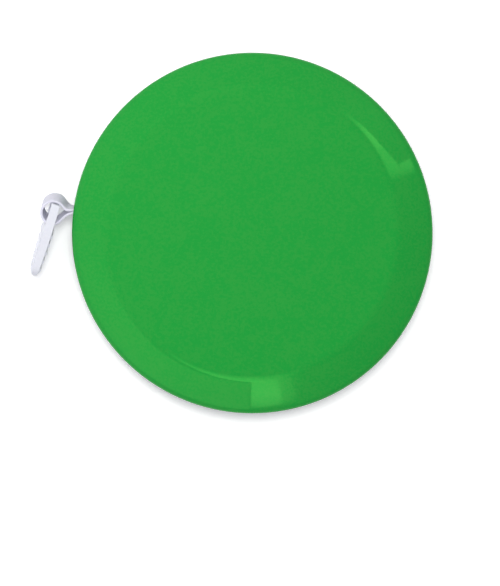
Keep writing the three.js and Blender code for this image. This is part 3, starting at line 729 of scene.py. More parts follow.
# Materials
# The case's colour hardly tints what lies beside it, as in the photograph
BOUNCE_GREY = 0.85
BOUNCE_COLOUR = (0.18, 0.17, 0.21)

# The printed scale, in millimetres: pitch, length and width of each kind of mark
SCALE_MARKS = ((1, 1.0, 0.12), (5, 1.5, 0.15), (10, 2.1, 0.18))

# Its numerals: their middle, counted from their centimetre mark, what each digit is worth and how many
# millimetres from the middle it stands, and the unit of a digit's cell along and across the tape
CENTIMETRE = 10 * MM
NUMERAL_MIDDLE = -3.1 * MM
DIGITS = ((1, 1.7), (10, 0.0), (100, -1.7))
DIGIT_UNIT = (1.1 * MM, 0.95 * MM)


def toned(colour, tones):
    """A colour with each part of it toned."""
    return [part * tone for part, tone in zip(colour, tones)]


def pigment(tree, colour, second, patch_size, strength):
    """A moulded colour with patches of a second one."""
    return use_group(tree, "Mottled Pigment", {
        "Color": (*colour, 1), "Second Color": (*second, 1), "Patch Size": patch_size, "Strength": strength,
    })["Color"]


def new_material(name):
    material = bpy.data.materials.new(name)
    material.use_nodes = True
    tree = material.node_tree
    return material, tree, tree.nodes["Principled BSDF"]


def moulded_plastic(
    name, colour, second, roughness, peel_size, smudge=0.05, peel=0.004 * MM, scratches=0.06, mottle=0.5,
):
    """A moulded plastic with mottled pigment, orange peel and smudged gloss."""
    material, tree, shader = new_material(name)
    skin = use_group(tree, "Moulded Skin", {
        "Roughness": roughness, "Smudge": smudge, "Peel Size": peel_size, "Scratches": scratches,
    })
    feed(tree, shader, {
        "Base Color": pigment(tree, colour, second, PIGMENT_PATCH, mottle),
        "Roughness": skin["Roughness"],
        "Normal": bumped(tree, skin["Height"], strength=1.0, distance=peel),
    })
    return material, shader


def case_plastic(name, scene):
    case = scene.tape_measure_case
    material, shader = moulded_plastic(
        name, case.plastic, toned(case.plastic, (0.3, 0.98, 0.92)), roughness=case.gloss, peel_size=2.2 * MM,
        smudge=0.03, peel=0.002 * MM, scratches=0.03, mottle=0.8,
    )
    tree = material.node_tree
    tint = shader.inputs["Base Color"].links[0].from_socket
    scattered = node(tree, "ShaderNodeLightPath").outputs["Is Diffuse Ray"]
    share = maths(tree, "MULTIPLY", scattered, BOUNCE_GREY)
    feed(tree, shader, {
        "Base Color": mixed(tree, share, tint, (*BOUNCE_COLOUR, 1)),
        "Specular Tint": (*case.sheen, 1),
        "IOR": 1.5,
    })
    return material


def tab_plastic(name, scene):
    plastic = scene.tape_measure_tab.plastic
    return moulded_plastic(
        name, plastic, toned(plastic, (0.95, 0.95, 0.98)), roughness=0.38, peel_size=0.5 * MM, smudge=0.12,
        peel=0.006 * MM,
    )[0]


def inner_plastic(name, _scene):
    return moulded_plastic(
        name, (0.66, 0.63, 0.54), (0.60, 0.57, 0.49), roughness=0.42, peel_size=0.8 * MM, smudge=0.15,
        peel=0.008 * MM,
    )[0]


def brake_rubber(name, _scene):
    material, shader = moulded_plastic(
        name, (0.018, 0.018, 0.018), (0.035, 0.034, 0.033), roughness=0.82, peel_size=0.22 * MM, smudge=0.1,
        peel=0.03 * MM, scratches=0.0, mottle=0.7,
    )
    shader.inputs["Specular IOR Level"].default_value = 0.3
    return material


def brushed_metal(name, colour, roughness, grain):
    """A metal with fine turned grain and slightly clouded colour."""
    material, tree, shader = new_material(name)
    place = node(tree, "ShaderNodeTexCoord").outputs["Object"]
    stretched = node(tree, "ShaderNodeMapping", {"Vector": place, "Scale": grain}).outputs["Vector"]
    lines = noise(tree, stretched, scale=1.0, detail=4.0)
    feed(tree, shader, {
        "Base Color": pigment(
            tree, colour, toned(colour, METAL_CLOUDS), patch_size=1.4 * MM, strength=0.6,
        ),
        "Roughness": maths(tree, "MULTIPLY_ADD", lines, GRAIN_DULLING, roughness),
        "Normal": bumped(tree, lines, strength=0.6, distance=0.004 * MM),
        "Metallic": 1.0,
    })
    return material


def spring_steel(name, _scene):
    return brushed_metal(name, (0.36, 0.39, 0.43), roughness=0.22, grain=(300, 300, 9000))


def eyelet_brass(name, _scene):
    return brushed_metal(name, (0.72, 0.52, 0.18), roughness=0.2, grain=(2500, 2500, 2500))


def tape_material(name, scene, printed):
    """Coated woven tape. The printed one carries a centimetre scale with plain numerals."""
    tape = scene.tape_measure_tape
    material, tree, shader = new_material(name)
    place = node(tree, "ShaderNodeAttribute", attribute_name="tape_place").outputs["Vector"]
    weave = use_group(tree, "Coated Weave", {"Place": place, "Thread": tape.thread})
    second = toned(tape.coating, (0.93, 0.93, 0.96))
    colour = pigment(tree, tape.coating, second, patch_size=0.6 * MM, strength=0.6)
    if printed:
        colour = mixed(tree, printed_scale(tree, place), colour, (*tape.ink, 1))
    height = maths(tree, "MULTIPLY_ADD", weave["Fuzz"], FUZZ_RELIEF, weave["Height"])
    feed(tree, shader, {
        "Base Color": colour,
        "Roughness": maths(tree, "MULTIPLY_ADD", weave["Fuzz"], FUZZ_DULLING, 0.42),
        "Normal": bumped(tree, height, strength=0.7, distance=0.012 * MM),
    })
    return material


def printed_scale(tree, place):
    """Where the tape is inked: millimetre, half and whole centimetre marks, and a numeral at each centimetre.

    The numerals read the right way on both sides of the tape.
    """
    parts = apart(tree, place)
    reading, across = parts["X"], maths(tree, "MULTIPLY", parts["Y"], -1.0)
    side = maths(tree, "MULTIPLY", maths(tree, "SIGN", parts["Z"]), -1.0)
    from_edge = maths(tree, "SUBTRACT", TAPE_WIDTH / 2, maths(tree, "ABSOLUTE", across))
    ink = 0.0
    for pitch, length, line in SCALE_MARKS:
        marks = use_group(tree, "Scale Marks", {
            "Reading": reading, "From Edge": from_edge, "Pitch": pitch * MM, "Length": length * MM,
            "Line": line * MM,
        })
        ink = maths(tree, "MAXIMUM", marks["Ink"], ink)
    count = maths(tree, "CEIL", maths(tree, "DIVIDE", reading, CENTIMETRE))
    before_line = maths(tree, "SUBTRACT", reading, maths(tree, "MULTIPLY", count, CENTIMETRE))
    from_middle = maths(tree, "MULTIPLY", maths(tree, "SUBTRACT", before_line, NUMERAL_MIDDLE), side)
    for worth, middle in DIGITS:
        whole = maths(tree, "FLOOR", maths(tree, "DIVIDE", maths(tree, "ADD", count, 0.5), float(worth)))
        along = maths(tree, "SUBTRACT", from_middle, middle * MM)
        digit = use_group(tree, "Block Numeral", {
            "Digit": maths(tree, "FLOORED_MODULO", whole, 10.0),
            "X": maths(tree, "DIVIDE", along, DIGIT_UNIT[0]),
            "Y": maths(tree, "DIVIDE", across, DIGIT_UNIT[1]),
        })
        shown = maths(tree, "GREATER_THAN", whole, 0.5)
        ink = maths(tree, "MAXIMUM", maths(tree, "MULTIPLY", digit["Ink"], shown), ink)
    return ink


def blank_tape(name, scene):
    return tape_material(name, scene, printed=False)


def printed_tape(name, scene):
    return tape_material(name, scene, printed=True)


# Each finish: how it is made and the record's slot that goes with it
FINISHES = {
    "glossy_green": (case_plastic, "case_plastic"),
    "white_moulding": (tab_plastic, "tab_plastic"),
    "natural_moulding": (inner_plastic, "inner_plastic"),
    "blued_steel": (spring_steel, "spring_steel"),
    "polished_brass": (eyelet_brass, "eyelet_brass"),
    "friction_rubber": (brake_rubber, "brake_rubber"),
    "blank_tape": (blank_tape, "tape"),
    "printed_tape": (printed_tape, "tape"),
}


def finish(name):
    """A material by its finish's name, built the first time that it is asked for."""
    return bpy.data.materials.get(name) or FINISHES[name][0](name, bpy.context.scene)


def dress(made, finish_name, body, nodes, blend=None):
    """Gives a finished piece its material and hides the frame's nodes that it stands for. It hangs from its
    body, or, when it blends, has its place worked into its mesh instead.
    """
    made.data.materials.clear()
    made.data.materials.append(finish(finish_name))
    made.data.update()
    if blend:
        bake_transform(made)
    else:
        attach(made, body)
    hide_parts(*nodes)
    return made


# Covers
def shell_outside(crease_reach):
    """Corners of a cover's outside, as (radius, depth under its own face, round)."""
    first, last = Vector((FACE_RADIUS, 0)), Vector((BEVEL_END, BEVEL_DROP))
    slope = last - first
    middle = (first + last) / 2 + Vector((slope.y, -slope.x)).normalized() * 2 * BEVEL_BULGE
    share = crease_reach / slope.length
    before, after = first.lerp(middle, share), middle.lerp(last, share)
    meet = before.lerp(after, share)
    way = after - meet
    crease = meet - way * (meet.y / way.y)
    flat = crease - Vector(((meet - crease).length, 0))
    steep = (last - after).y / (last - after).x
    wall = Vector((CASE_RADIUS, BEVEL_DROP + (CASE_RADIUS - BEVEL_END) * steep))
    foot = Vector((CASE_RADIUS, BEVEL_DROP + CORNER_DROP))
    run = bezier([flat, crease, meet], CREASE_STEPS)
    run += bezier([meet, after, last], BEVEL_STEPS)[1:] + bezier([last, wall, foot], CORNER_STEPS)[1:]
    return [*[(point.x, point.y, 0) for point in run], (CASE_RADIUS, SEAM_HEIGHT - SEAM_HAIRLINE, SEAM_ROUND)]


def shell_inside():
    """Corners of a cover's inside, from the side wall back to the inner face."""
    slope = BEVEL_DROP / (BEVEL_END - FACE_RADIUS)
    inner_face = FACE_RADIUS - FACE_WALL * math.tan(math.atan(slope) / 2)
    return [
        (CASE_INNER, FACE_WALL + (CASE_INNER - inner_face) * slope, INNER_ROUND),
        (inner_face, FACE_WALL, INNER_ROUND),
    ]


def inside_case(rib):
    """What is left of a rib once the outside of the case is cut from it."""
    half_wall = FACE_WALL / 2
    (wall, wall_depth, _), (face, face_depth, _) = shell_inside()
    outline = [
        (0, half_wall), (face, face_depth - half_wall), (wall, wall_depth - half_wall),
        (wall, CASE_THICKNESS - wall_depth + half_wall), (face, CASE_THICKNESS - face_depth + half_wall),
        (0, CASE_THICKNESS - half_wall),
    ]
    return combine(rib, turned("envelope", outline), "INTERSECT")


def pin_places():
    circle = (FLANGE_RADIUS + LOOSE_GAP + CASE_INNER) / 2
    return [polar(circle, (i + 1 / 2) / PINS * FULL_TURN) for i in range(PINS)]


def slot_tool():
    """The slot's space, with a mouth that rounds outwards on all sides."""
    rises = [math.sin(math.pi / 2 * i / ROUND_STEPS) for i in range(ROUND_STEPS + 1)]
    mouth = [CASE_RADIUS - SLOT_LIP_ROUND * (1 - rise) for rise in rises]
    sections = []
    for station in [CASE_INNER - 2 * OVERRUN, *mouth, CASE_RADIUS + OVERRUN]:
        share = min(max((station - mouth[0]) / SLOT_LIP_ROUND, 0), 1)
        flare = SLOT_LIP_ROUND * (1 - math.sqrt(1 - share * share))
        half_width = SLOT_WIDTH / 2 + flare
        half_height = TAPE_WIDTH / 2 + SLOT_SPARE + flare / 2
        outline = rounded_box(-half_width, half_width, -half_height, half_height, SLOT_CORNER)
        sections.append([(-station, y, TAPE_MIDDLE + z) for y, z in outline])
    return lofted("slot", sections)


def jamb(side, bottom, top):
    """One of the two ribs that line the exit channel, with a round nose that the tape turns on."""
    near, radius = SLOT_WIDTH / 2, JAMB_THICKNESS / 2
    root = CASE_INNER + SIDE_WALL / 2
    centre = (-(CHANNEL_END + radius), near + radius)
    nose = arc_points(centre, radius, -math.pi / 2, math.pi / 2, 2 * ROUND_STEPS)
    outline = [(-root, near), *nose, (-root, near + JAMB_THICKNESS)]
    return inside_case(prism("jamb", [(x, side * y) for x, y in outline], bottom, top))


def add_ribs(cover, name, radius, posts, jambs):
    """Gives a cover a post at each pin's place and the slot's jambs, each from one height to another."""
    for place in pin_places():
        combine(cover, inside_case(post(name, place, radius, *posts)), "UNION")
    for side in (1, -1):
        combine(cover, jamb(side, *jambs), "UNION")


def front_cover(crease_reach):
    corners = [
        (0, 0, 0),
        *shell_outside(crease_reach),
        (CASE_INNER + LAP_THICKNESS, SEAM_HEIGHT - SEAM_HAIRLINE, 0),
        (CASE_INNER + LAP_THICKNESS, SEAM_HEIGHT + LAP_HEIGHT, MOULD_ROUND),
        (CASE_INNER, SEAM_HEIGHT + LAP_HEIGHT, MOULD_ROUND),
        *shell_inside(),
        (BOSS_RADIUS, FACE_WALL, INNER_ROUND / 2),
        (BOSS_RADIUS, CASE_THICKNESS - BOSS_BOTTOM, MOULD_ROUND),
        (0, CASE_THICKNESS - BOSS_BOTTOM, 0),
    ]
    outline = [(radius, CASE_THICKNESS - depth) for radius, depth in rounded(corners)]
    cover = turned("front_shell", outline, CASE_STEPS)
    top = CASE_THICKNESS - FACE_WALL / 2
    add_ribs(cover, "pin", PIN_RADIUS, (2 * FACE_WALL + LOOSE_GAP, top), (SEAM_HEIGHT + SEAM_HAIRLINE, top))
    keyway = hexagon("keyway", KEY_ACROSS + 2 * MOULD_ROUND, BOSS_BOTTOM - OVERRUN, KEY_TOP + MOULD_ROUND)
    combine(cover, keyway, "DIFFERENCE")
    return combine(cover, slot_tool(), "DIFFERENCE")


def back_cover(crease_reach):
    lap = CASE_INNER + LAP_THICKNESS + LOOSE_GAP
    corners = [
        (BUTTON_HOLE, THUMB_DEPTH, LIP_ROUND),
        (THUMB_RADIUS, 0, THUMB_ROUND),
        *shell_outside(crease_reach),
        (lap, SEAM_HEIGHT - SEAM_HAIRLINE, 0),
        (lap, SEAM_HEIGHT - LAP_HEIGHT - LOOSE_GAP, 0),
        (CASE_INNER, SEAM_HEIGHT - LAP_HEIGHT - LOOSE_GAP, MOULD_ROUND),
        *shell_inside(),
        (BUTTON_HOLE, FACE_WALL, MOULD_ROUND),
    ]
    cover = turned("back_shell", rounded(corners), CASE_STEPS)
    socket = PIN_RADIUS + LOOSE_GAP
    add_ribs(
        cover, "socket", socket + SOCKET_WALL, (FACE_WALL / 2, SEAM_HEIGHT - LOOSE_GAP),
        (FACE_WALL / 2, SEAM_HEIGHT - SEAM_HAIRLINE),
    )
    for place in pin_places():
        combine(cover, post("bore", place, socket, 2 * FACE_WALL, SEAM_HEIGHT), "DIFFERENCE")
    return combine(cover, slot_tool(), "DIFFERENCE")


class TAPE_OT_covers(bpy.types.Operator):
    """Make the two covers of the case, with their pins, sockets, jambs and slot"""
    bl_idname = "tape_measure.covers"
    bl_label = "Covers"

    def execute(self, context):
        crease = context.scene.tape_measure_case.crease_reach
        dress(crisp(front_cover(crease)), "glossy_green", "case", ["front_cover"])
        dress(crisp(back_cover(crease)), "glossy_green", "case", ["back_cover"])
        return {"FINISHED"}


class TAPE_OT_button(bpy.types.Operator):
    """Make the push button in the back, with its lip, collar and guide spigot"""
    bl_idname = "tape_measure.button"
    bl_label = "Push Button"

    def execute(self, context):
        edge = MOULD_ROUND
        lip = BUTTON_RADIUS + BUTTON_LIP
        skirt = BUTTON_RADIUS - BUTTON_SKIRT
        collar = COLLAR_INNER + COLLAR_WALL
        corners = [
            (0, BUTTON_RECESS, 0),
            (BUTTON_RADIUS, BUTTON_RECESS, BUTTON_EDGE_ROUND),
            (BUTTON_RADIUS, BUTTON_LIP_BOTTOM, 0),
            (lip, BUTTON_LIP_BOTTOM, edge), (lip, BUTTON_RIM_TOP, edge),
            (skirt, BUTTON_RIM_TOP, edge), (skirt, BUTTON_WEB_TOP, edge),
            (collar, BUTTON_WEB_TOP, edge), (collar, BUTTON_RIM_TOP, edge),
            (COLLAR_INNER, BUTTON_RIM_TOP, edge), (COLLAR_INNER, BUTTON_WEB_TOP, edge),
            (SPIGOT_RADIUS, BUTTON_WEB_TOP, edge), (SPIGOT_RADIUS, BUTTON_TOP, 2 * edge),
            (0, BUTTON_TOP, 0),
        ]
        button = turned("release_button", rounded(corners))
        dress(crisp(button), "white_moulding", "button", ["push_button"])
        return {"FINISHED"}


# Ribbons
def captured(tree, geometry, kind, name, value):
    """Geometry that keeps a value under a name, and the value as it was kept."""
    made = tree.nodes.new("GeometryNodeCaptureAttribute")
    made.capture_items.new(kind, name)
    feed(tree, made, {"Geometry": geometry, name: value})
    return made.outputs["Geometry"], made.outputs[name]


def put_out(tree, geometry, material, out, name):
    """Ends a tree with real geometry that has its material."""
    real = node(tree, "GeometryNodeRealizeInstances", {"Geometry": geometry}).outputs["Geometry"]
    painted = node(tree, "GeometryNodeSetMaterial", {"Geometry": real, "Material": material})
    feed(tree, out, {name: painted.outputs["Geometry"]})


def ribbon_tree():
    """Sweeps a flat section with rounded edges along a path in plan, and leans it about a line along X."""
    tree, given, out = group_tree(
        "Ribbon", "GeometryNodeTree",
        [("Path", "Geometry"), ("Width", "Float", TAPE_WIDTH), ("Thickness", "Float", TAPE_THICKNESS),
         ("Edge Round", "Float", TAPE_EDGE_ROUND), ("Middle", "Float", TAPE_MIDDLE), ("Lean", "Float", 0.0),
         ("Lean From", "Float", 0.0), ("Lean Run", "Float", LEAN_RUN), ("Pivot", "Vector"),
         ("Finish", "Material")],
        [("Ribbon", "Geometry")],
    )
    upright = node(tree, "GeometryNodeSetCurveNormal", {"Curve": given["Path"]}, mode="Z_UP")
    length = node(tree, "GeometryNodeSplineParameter").outputs["Length"]
    path, along = captured(tree, upright.outputs["Curve"], "FLOAT", "Length", length)
    section = node(
        tree, "GeometryNodeCurvePrimitiveQuadrilateral",
        {"Width": given["Thickness"], "Height": given["Width"]},
    )
    filleted = node(
        tree, "GeometryNodeFilletCurve",
        {"Curve": section.outputs["Curve"], "Radius": given["Edge Round"], "Count": 2}, mode="POLY",
    )
    position = node(tree, "GeometryNodeInputPosition").outputs["Position"]
    profile, across = captured(tree, filleted.outputs["Curve"], "VECTOR", "Place", position)
    swept = node(
        tree, "GeometryNodeCurveToMesh", {"Curve": path, "Profile Curve": profile, "Fill Caps": True},
    )
    parts = apart(tree, across)
    stored = node(
        tree, "GeometryNodeStoreNamedAttribute",
        {"Geometry": swept.outputs["Mesh"], "Name": "tape_place",
         "Value": joined(tree, X=along, Y=parts["Y"], Z=parts["X"])},
        data_type="FLOAT_VECTOR", domain="POINT",
    )
    lifted = node(
        tree, "GeometryNodeSetPosition",
        {"Geometry": stored.outputs["Geometry"], "Offset": joined(tree, Z=given["Middle"])},
    )
    lean_end = maths(tree, "SUBTRACT", given["Lean From"], given["Lean Run"])
    share = ranged(
        tree, apart(tree, position)["X"], given["Lean From"], lean_end, interpolation_type="SMOOTHSTEP",
    )
    angle = maths(tree, "MULTIPLY", share, given["Lean"])
    leaned = node(
        tree, "ShaderNodeVectorRotate", {"Vector": position, "Center": given["Pivot"], "Angle": angle},
        rotation_type="X_AXIS",
    )
    placed = node(
        tree, "GeometryNodeSetPosition",
        {"Geometry": lifted.outputs["Geometry"], "Position": leaned.outputs["Vector"]},
    )
    put_out(tree, placed.outputs["Geometry"], given["Finish"], out, "Ribbon")
    return tree


def with_nodes(made, tree, values):
    """The object with a Geometry Nodes tree worked into a plain mesh."""
    modifier = made.modifiers.new(tree.name, "NODES")
    modifier.node_group = tree
    names = {item.name: item.identifier for item in tree.interface.items_tree if item.in_out == "INPUT"}
    for name, value in values.items():
        modifier[names[name]] = value
    return settled(made)


def ribbon(name, path, finish_name, **values):
    """A flat strip on edge along a path of plan points, with the tape's sizes unless others are given."""
    curve = bpy.data.curves.new(name, "CURVE")
    curve.dimensions = "3D"
    spline = curve.splines.new("POLY")
    spline.points.add(len(path) - 1)
    for point, place in zip(spline.points, path):
        point.co = (*place[:2], 0, 1)
    tree = bpy.data.node_groups.get("Ribbon") or ribbon_tree()
    values = {key.replace("_", " ").title(): value for key, value in values.items()}
    made = with_nodes(new_object(name, curve), tree, {**values, "Finish": finish(finish_name)})
    return smooth(made, RIBBON_SHARP_ANGLE)


def flank(start, start_way, end, end_way):
    """A smooth run between two points of the end loop, in plan."""
    reach = (end - start).length * FLANK_HANDLE_SHARE
    return bezier([start, start + start_way * reach, end - end_way * reach, end], 3 * ROUND_STEPS)


def loop_path():
    """The end loop in plan: out along the upper layer, round the teardrop and back in along the lower one."""
    centre = Vector((-(CASE_RADIUS + LOOP_REACH), -LOOP_OFFSET))
    round_part = arc_points(centre, LOOP_RADIUS, LOOP_START, LOOP_END, 12 * ROUND_STEPS)
    start_way = Vector((-math.sin(LOOP_START), math.cos(LOOP_START)))
    end_way = Vector((-math.sin(LOOP_END), math.cos(LOOP_END)))
    outwards = Vector((-1, 0))
    upper, lower = Vector((-CASE_RADIUS, LAYER_OFFSET)), Vector((-CASE_RADIUS, -LAYER_OFFSET))
    in_channel = CHANNEL_END + STRETCH_ZONE
    run = CASE_RADIUS - in_channel
    straight = [Vector((-(in_channel + run * i / ROUND_STEPS), LAYER_OFFSET)) for i in range(ROUND_STEPS)]
    back = [Vector((point.x, -LAYER_OFFSET)) for point in reversed(straight)]
    return [
        *straight,
        *flank(upper, outwards, round_part[0], start_way),
        *round_part[1:-1],
        *flank(round_part[-1], end_way, lower, -outwards),
        *back,
    ]


class TAPE_OT_end_loop(bpy.types.Operator):
    """Make the tape's end, turned back on itself into a leaning loop, and the eyelet that closes it"""
    bl_idname = "tape_measure.end_loop"
    bl_label = "End Loop and Eyelet"

    def execute(self, context):
        loop = ribbon(
            "end_loop", loop_path(), "blank_tape", lean=LOOP_LEAN, lean_from=-(CASE_RADIUS - LEAN_START),
            pivot=PIVOT,
        )
        across = Matrix.Translation(EYELET_PLACE) @ Matrix.Rotation(math.pi / 2, 4, "X")
        hole = post("hole", (0, 0), EYELET_RADIUS + CLOSE_GAP, -SLOT_WIDTH, SLOT_WIDTH)
        loop = smooth(combine(loop, moved(hole, across), "DIFFERENCE"), RIBBON_SHARP_ANGLE)
        dress(loop, "blank_tape", "tape_end", ["tape_end_loop"])
        bore = EYELET_RADIUS - EYELET_WALL
        flange = EYELET_RADIUS + EYELET_FLANGE
        inner = EYELET_REACH - EYELET_FLANGE_THICKNESS
        curl = EYELET_FLANGE_THICKNESS / 2
        corners = [
            (bore, -EYELET_REACH, 2 * curl), (flange, -EYELET_REACH, curl), (flange, -inner, curl),
            (EYELET_RADIUS, -inner, 0), (EYELET_RADIUS, inner, 0), (flange, inner, curl),
            (flange, EYELET_REACH, curl), (bore, EYELET_REACH, 2 * curl),
        ]
        eyelet = moved(turned("rolled_eyelet", rounded(corners), 2 * SMALL_STEPS), across)
        dress(smooth(eyelet), "polished_brass", "tape_end", ["loop_eyelet"])
        return {"FINISHED"}


def take_off():
    """Where the free tape leaves the coil: the bend's middle, the way it runs, and the point."""
    radius = COIL_OUTER - TAPE_THICKNESS / 2
    bend = Vector((-CHANNEL_END, LAYER_OFFSET + LEAD_BEND))
    angle = math.asin((radius + LEAD_BEND) / bend.length) - math.atan2(bend.y, -bend.x)
    return bend, angle, Vector((-radius * math.sin(angle), radius * math.cos(angle)))


class TAPE_OT_free_tape(bpy.types.Operator):
    """Lay the tape from the coil round the jamb to the end loop, as one strip with its scale readings set for
    its full reach
    """
    bl_idname = "tape_measure.free_tape"
    bl_label = "Free Tape"

    def execute(self, context):
        bend, angle, point = take_off()
        rounding = arc_points(bend, LEAD_BEND, angle - math.pi / 2, -math.pi / 2, 3 * ROUND_STEPS)
        rounding[-1] = Vector((-CHANNEL_END, LAYER_OFFSET))
        step = STRETCH_ZONE / STRETCH_STEPS
        zone = [Vector((-(CHANNEL_END + step * (i + 1)), LAYER_OFFSET)) for i in range(STRETCH_STEPS)]
        strip = ribbon("free_tape", [point, *rounding, *zone], "printed_tape")
        places = strip.data.attributes["tape_place"].data
        for vertex, place in zip(strip.data.vertices, places):
            share = min(max((-CHANNEL_END - vertex.co.x) / STRETCH_ZONE, 0), 1)
            out = share * share * (3 - 2 * share) * TAPE_REACH
            place.vector.x = TAPE_REACH + CASE_RADIUS + vertex.co.x - out
        start = (-CHANNEL_END, LAYER_OFFSET, TAPE_MIDDLE)
        end = (-(CHANNEL_END + STRETCH_ZONE), LAYER_OFFSET, TAPE_MIDDLE)
        dress(strip, "printed_tape", "case", ["tape_lead"], blend=("tape_end", start, end))
        return {"FINISHED"}


class TAPE_OT_coil(bpy.types.Operator):
    """Wind the tape on the hub as one unbroken spiral, with its tail tucked into the hub"""
    bl_idname = "tape_measure.coil"
    bl_label = "Wound Tape"

    def execute(self, context):
        _, _, leave = take_off()
        end_angle = math.atan2(leave.y, leave.x)
        start_angle = -math.pi / 2
        sweep = end_angle - start_angle + COIL_TURNS * FULL_TURN
        first, last = COIL_INNER + TAPE_THICKNESS / 2, COIL_OUTER - TAPE_THICKNESS / 2
        steps = round(sweep / FULL_TURN * PART_STEPS)
        tail = Vector((0, -(COIL_INNER - TAPE_TAIL)))
        turns = spiral(first, last, start_angle, start_angle + sweep, steps)
        coil = ribbon("wound_tape", [tail, *turns], "printed_tape")
        places = coil.data.attributes["tape_place"].data
        outer_end = max(place.vector.x for place in places)
        for place in places:
            place.vector.x = outer_end - place.vector.x
        dress(coil, "printed_tape", "drum", ["tape_coil"])
        return {"FINISHED"}


class TAPE_OT_mainspring(bpy.types.Operator):
    """Wind the mainspring, with its tang in the arbor and its hook out through the hub"""
    bl_idname = "tape_measure.mainspring"
    bl_label = "Mainspring"

    def execute(self, context):
        first = ARBOR_RADIUS + LOOSE_GAP + (SPRING_THICKNESS + SPRING_BEND) / 2
        last = CHAMBER_RADIUS - LOOSE_GAP - SPRING_THICKNESS
        start_angle, start_radius = math.atan2(SPRING_BEND, first), math.hypot(SPRING_BEND, first)
        hook = last + SPRING_BEND
        end_angle = (SPRING_TURNS + 1 / 4) * FULL_TURN - math.atan2(SPRING_BEND, hook)
        steps = round((end_angle - start_angle) / FULL_TURN * PART_STEPS / 2)
        path = [Vector((TANG_START, 0))]
        path += arc_points((first - SPRING_BEND, SPRING_BEND), SPRING_BEND, -math.pi / 2, 0, ROUND_STEPS)
        path += spiral(start_radius, last, start_angle, end_angle, steps)[1:]
        way, inwards = polar(1, end_angle), end_angle + math.pi
        path += arc_points(way * hook, SPRING_BEND, inwards, inwards - math.pi / 2, ROUND_STEPS)[1:]
        path.append(path[-1] + way * (HUB_RADIUS - LOOSE_GAP - hook))
        spring = ribbon(
            "wound_spring", path, "blued_steel", width=SPRING_TOP - SPRING_BOTTOM, thickness=SPRING_THICKNESS,
            middle=(SPRING_TOP + SPRING_BOTTOM) / 2, edge_round=SPRING_THICKNESS / 4,
        )
        dress(spring, "blued_steel", "drum", ["mainspring"])
        return {"FINISHED"}


# Pull tab
def tab_half_thickness(u):
    """Half the tab's thickness at a distance from the crossbar."""
    if u < WINDOW_REACH:
        share = (u + TAB_HEAD) / (WINDOW_REACH + TAB_HEAD)
        return (TAB_HEAD_THICKNESS + (TAB_GRIP_THICKNESS - TAB_HEAD_THICKNESS) * share) / 2
    share = (u - WINDOW_REACH) / (TAB_REACH - WINDOW_REACH)
    return (TAB_GRIP_THICKNESS + (TAB_TIP_THICKNESS - TAB_GRIP_THICKNESS) * share * share) / 2


def rib_tree():
    """Rows of round grip ribs on both faces of the tab, shorter towards its tip."""
    tree, given, out = group_tree(
        "Grip Ribs", "GeometryNodeTree",
        [("Count", "Int", 5), ("First", "Float"), ("Pitch", "Float"), ("Radius", "Float"),
         ("Height", "Float"), ("Half At Grip", "Float"), ("Half At Tip", "Float"), ("Thick At Grip", "Float"),
         ("Thick At Tip", "Float"), ("Reach", "Float"), ("Finish", "Material")],
        [("Ribs", "Geometry")],
    )
    start, step = joined(tree, X=given["First"]), joined(tree, X=given["Pitch"])
    row = node(
        tree, "GeometryNodeMeshLine", {"Count": given["Count"], "Start Location": start, "Offset": step},
    ).outputs["Mesh"]
    along = apart(tree, node(tree, "GeometryNodeInputPosition").outputs["Position"])["X"]
    run = maths(tree, "SUBTRACT", given["Reach"], WINDOW_REACH)
    share = maths(tree, "DIVIDE", maths(tree, "SUBTRACT", along, WINDOW_REACH), run)
    thinner = maths(tree, "SUBTRACT", given["Thick At Tip"], given["Thick At Grip"])
    taper = maths(tree, "MULTIPLY", share, share)
    thick = maths(tree, "MULTIPLY_ADD", thinner, taper, given["Thick At Grip"])
    proud = maths(tree, "SUBTRACT", given["Height"], given["Radius"])
    offset = maths(tree, "MULTIPLY_ADD", thick, 0.5, proud)
    narrower = maths(tree, "SUBTRACT", given["Half At Tip"], given["Half At Grip"])
    half = maths(tree, "MULTIPLY_ADD", narrower, share, given["Half At Grip"])
    size = joined(tree, X=1.0, Y=1.0, Z=maths(tree, "SUBTRACT", half, RIB_MARGIN))
    bar = node(
        tree, "GeometryNodeMeshCylinder", {"Vertices": SMALL_STEPS, "Radius": given["Radius"], "Depth": 2.0},
    ).outputs["Mesh"]
    sides = tree.nodes.new("GeometryNodeJoinGeometry")
    for side in (1.0, -1.0):
        aside = joined(tree, Y=maths(tree, "MULTIPLY", offset, side))
        shifted = node(tree, "GeometryNodeSetPosition", {"Geometry": row, "Offset": aside})
        placed = node(
            tree, "GeometryNodeInstanceOnPoints",
            {"Points": shifted.outputs["Geometry"], "Instance": bar, "Scale": size},
        )
        tree.links.new(placed.outputs["Instances"], sides.inputs["Geometry"])
    put_out(tree, sides.outputs["Geometry"], given["Finish"], out, "Ribs")
    return tree


def tab_ribs(settings):
    return with_nodes(new_object("ribs", bpy.data.meshes.new("ribs")), rib_tree(), {
        "Count": settings.ribs, "First": WINDOW_REACH + RIB_LEAD, "Pitch": settings.rib_pitch,
        "Radius": settings.rib_radius, "Height": settings.rib_height, "Half At Grip": TAB_HALF,
        "Half At Tip": TAB_TIP_HALF, "Thick At Grip": TAB_GRIP_THICKNESS, "Thick At Tip": TAB_TIP_THICKNESS,
        "Reach": TAB_REACH, "Finish": finish("white_moulding"),
    })


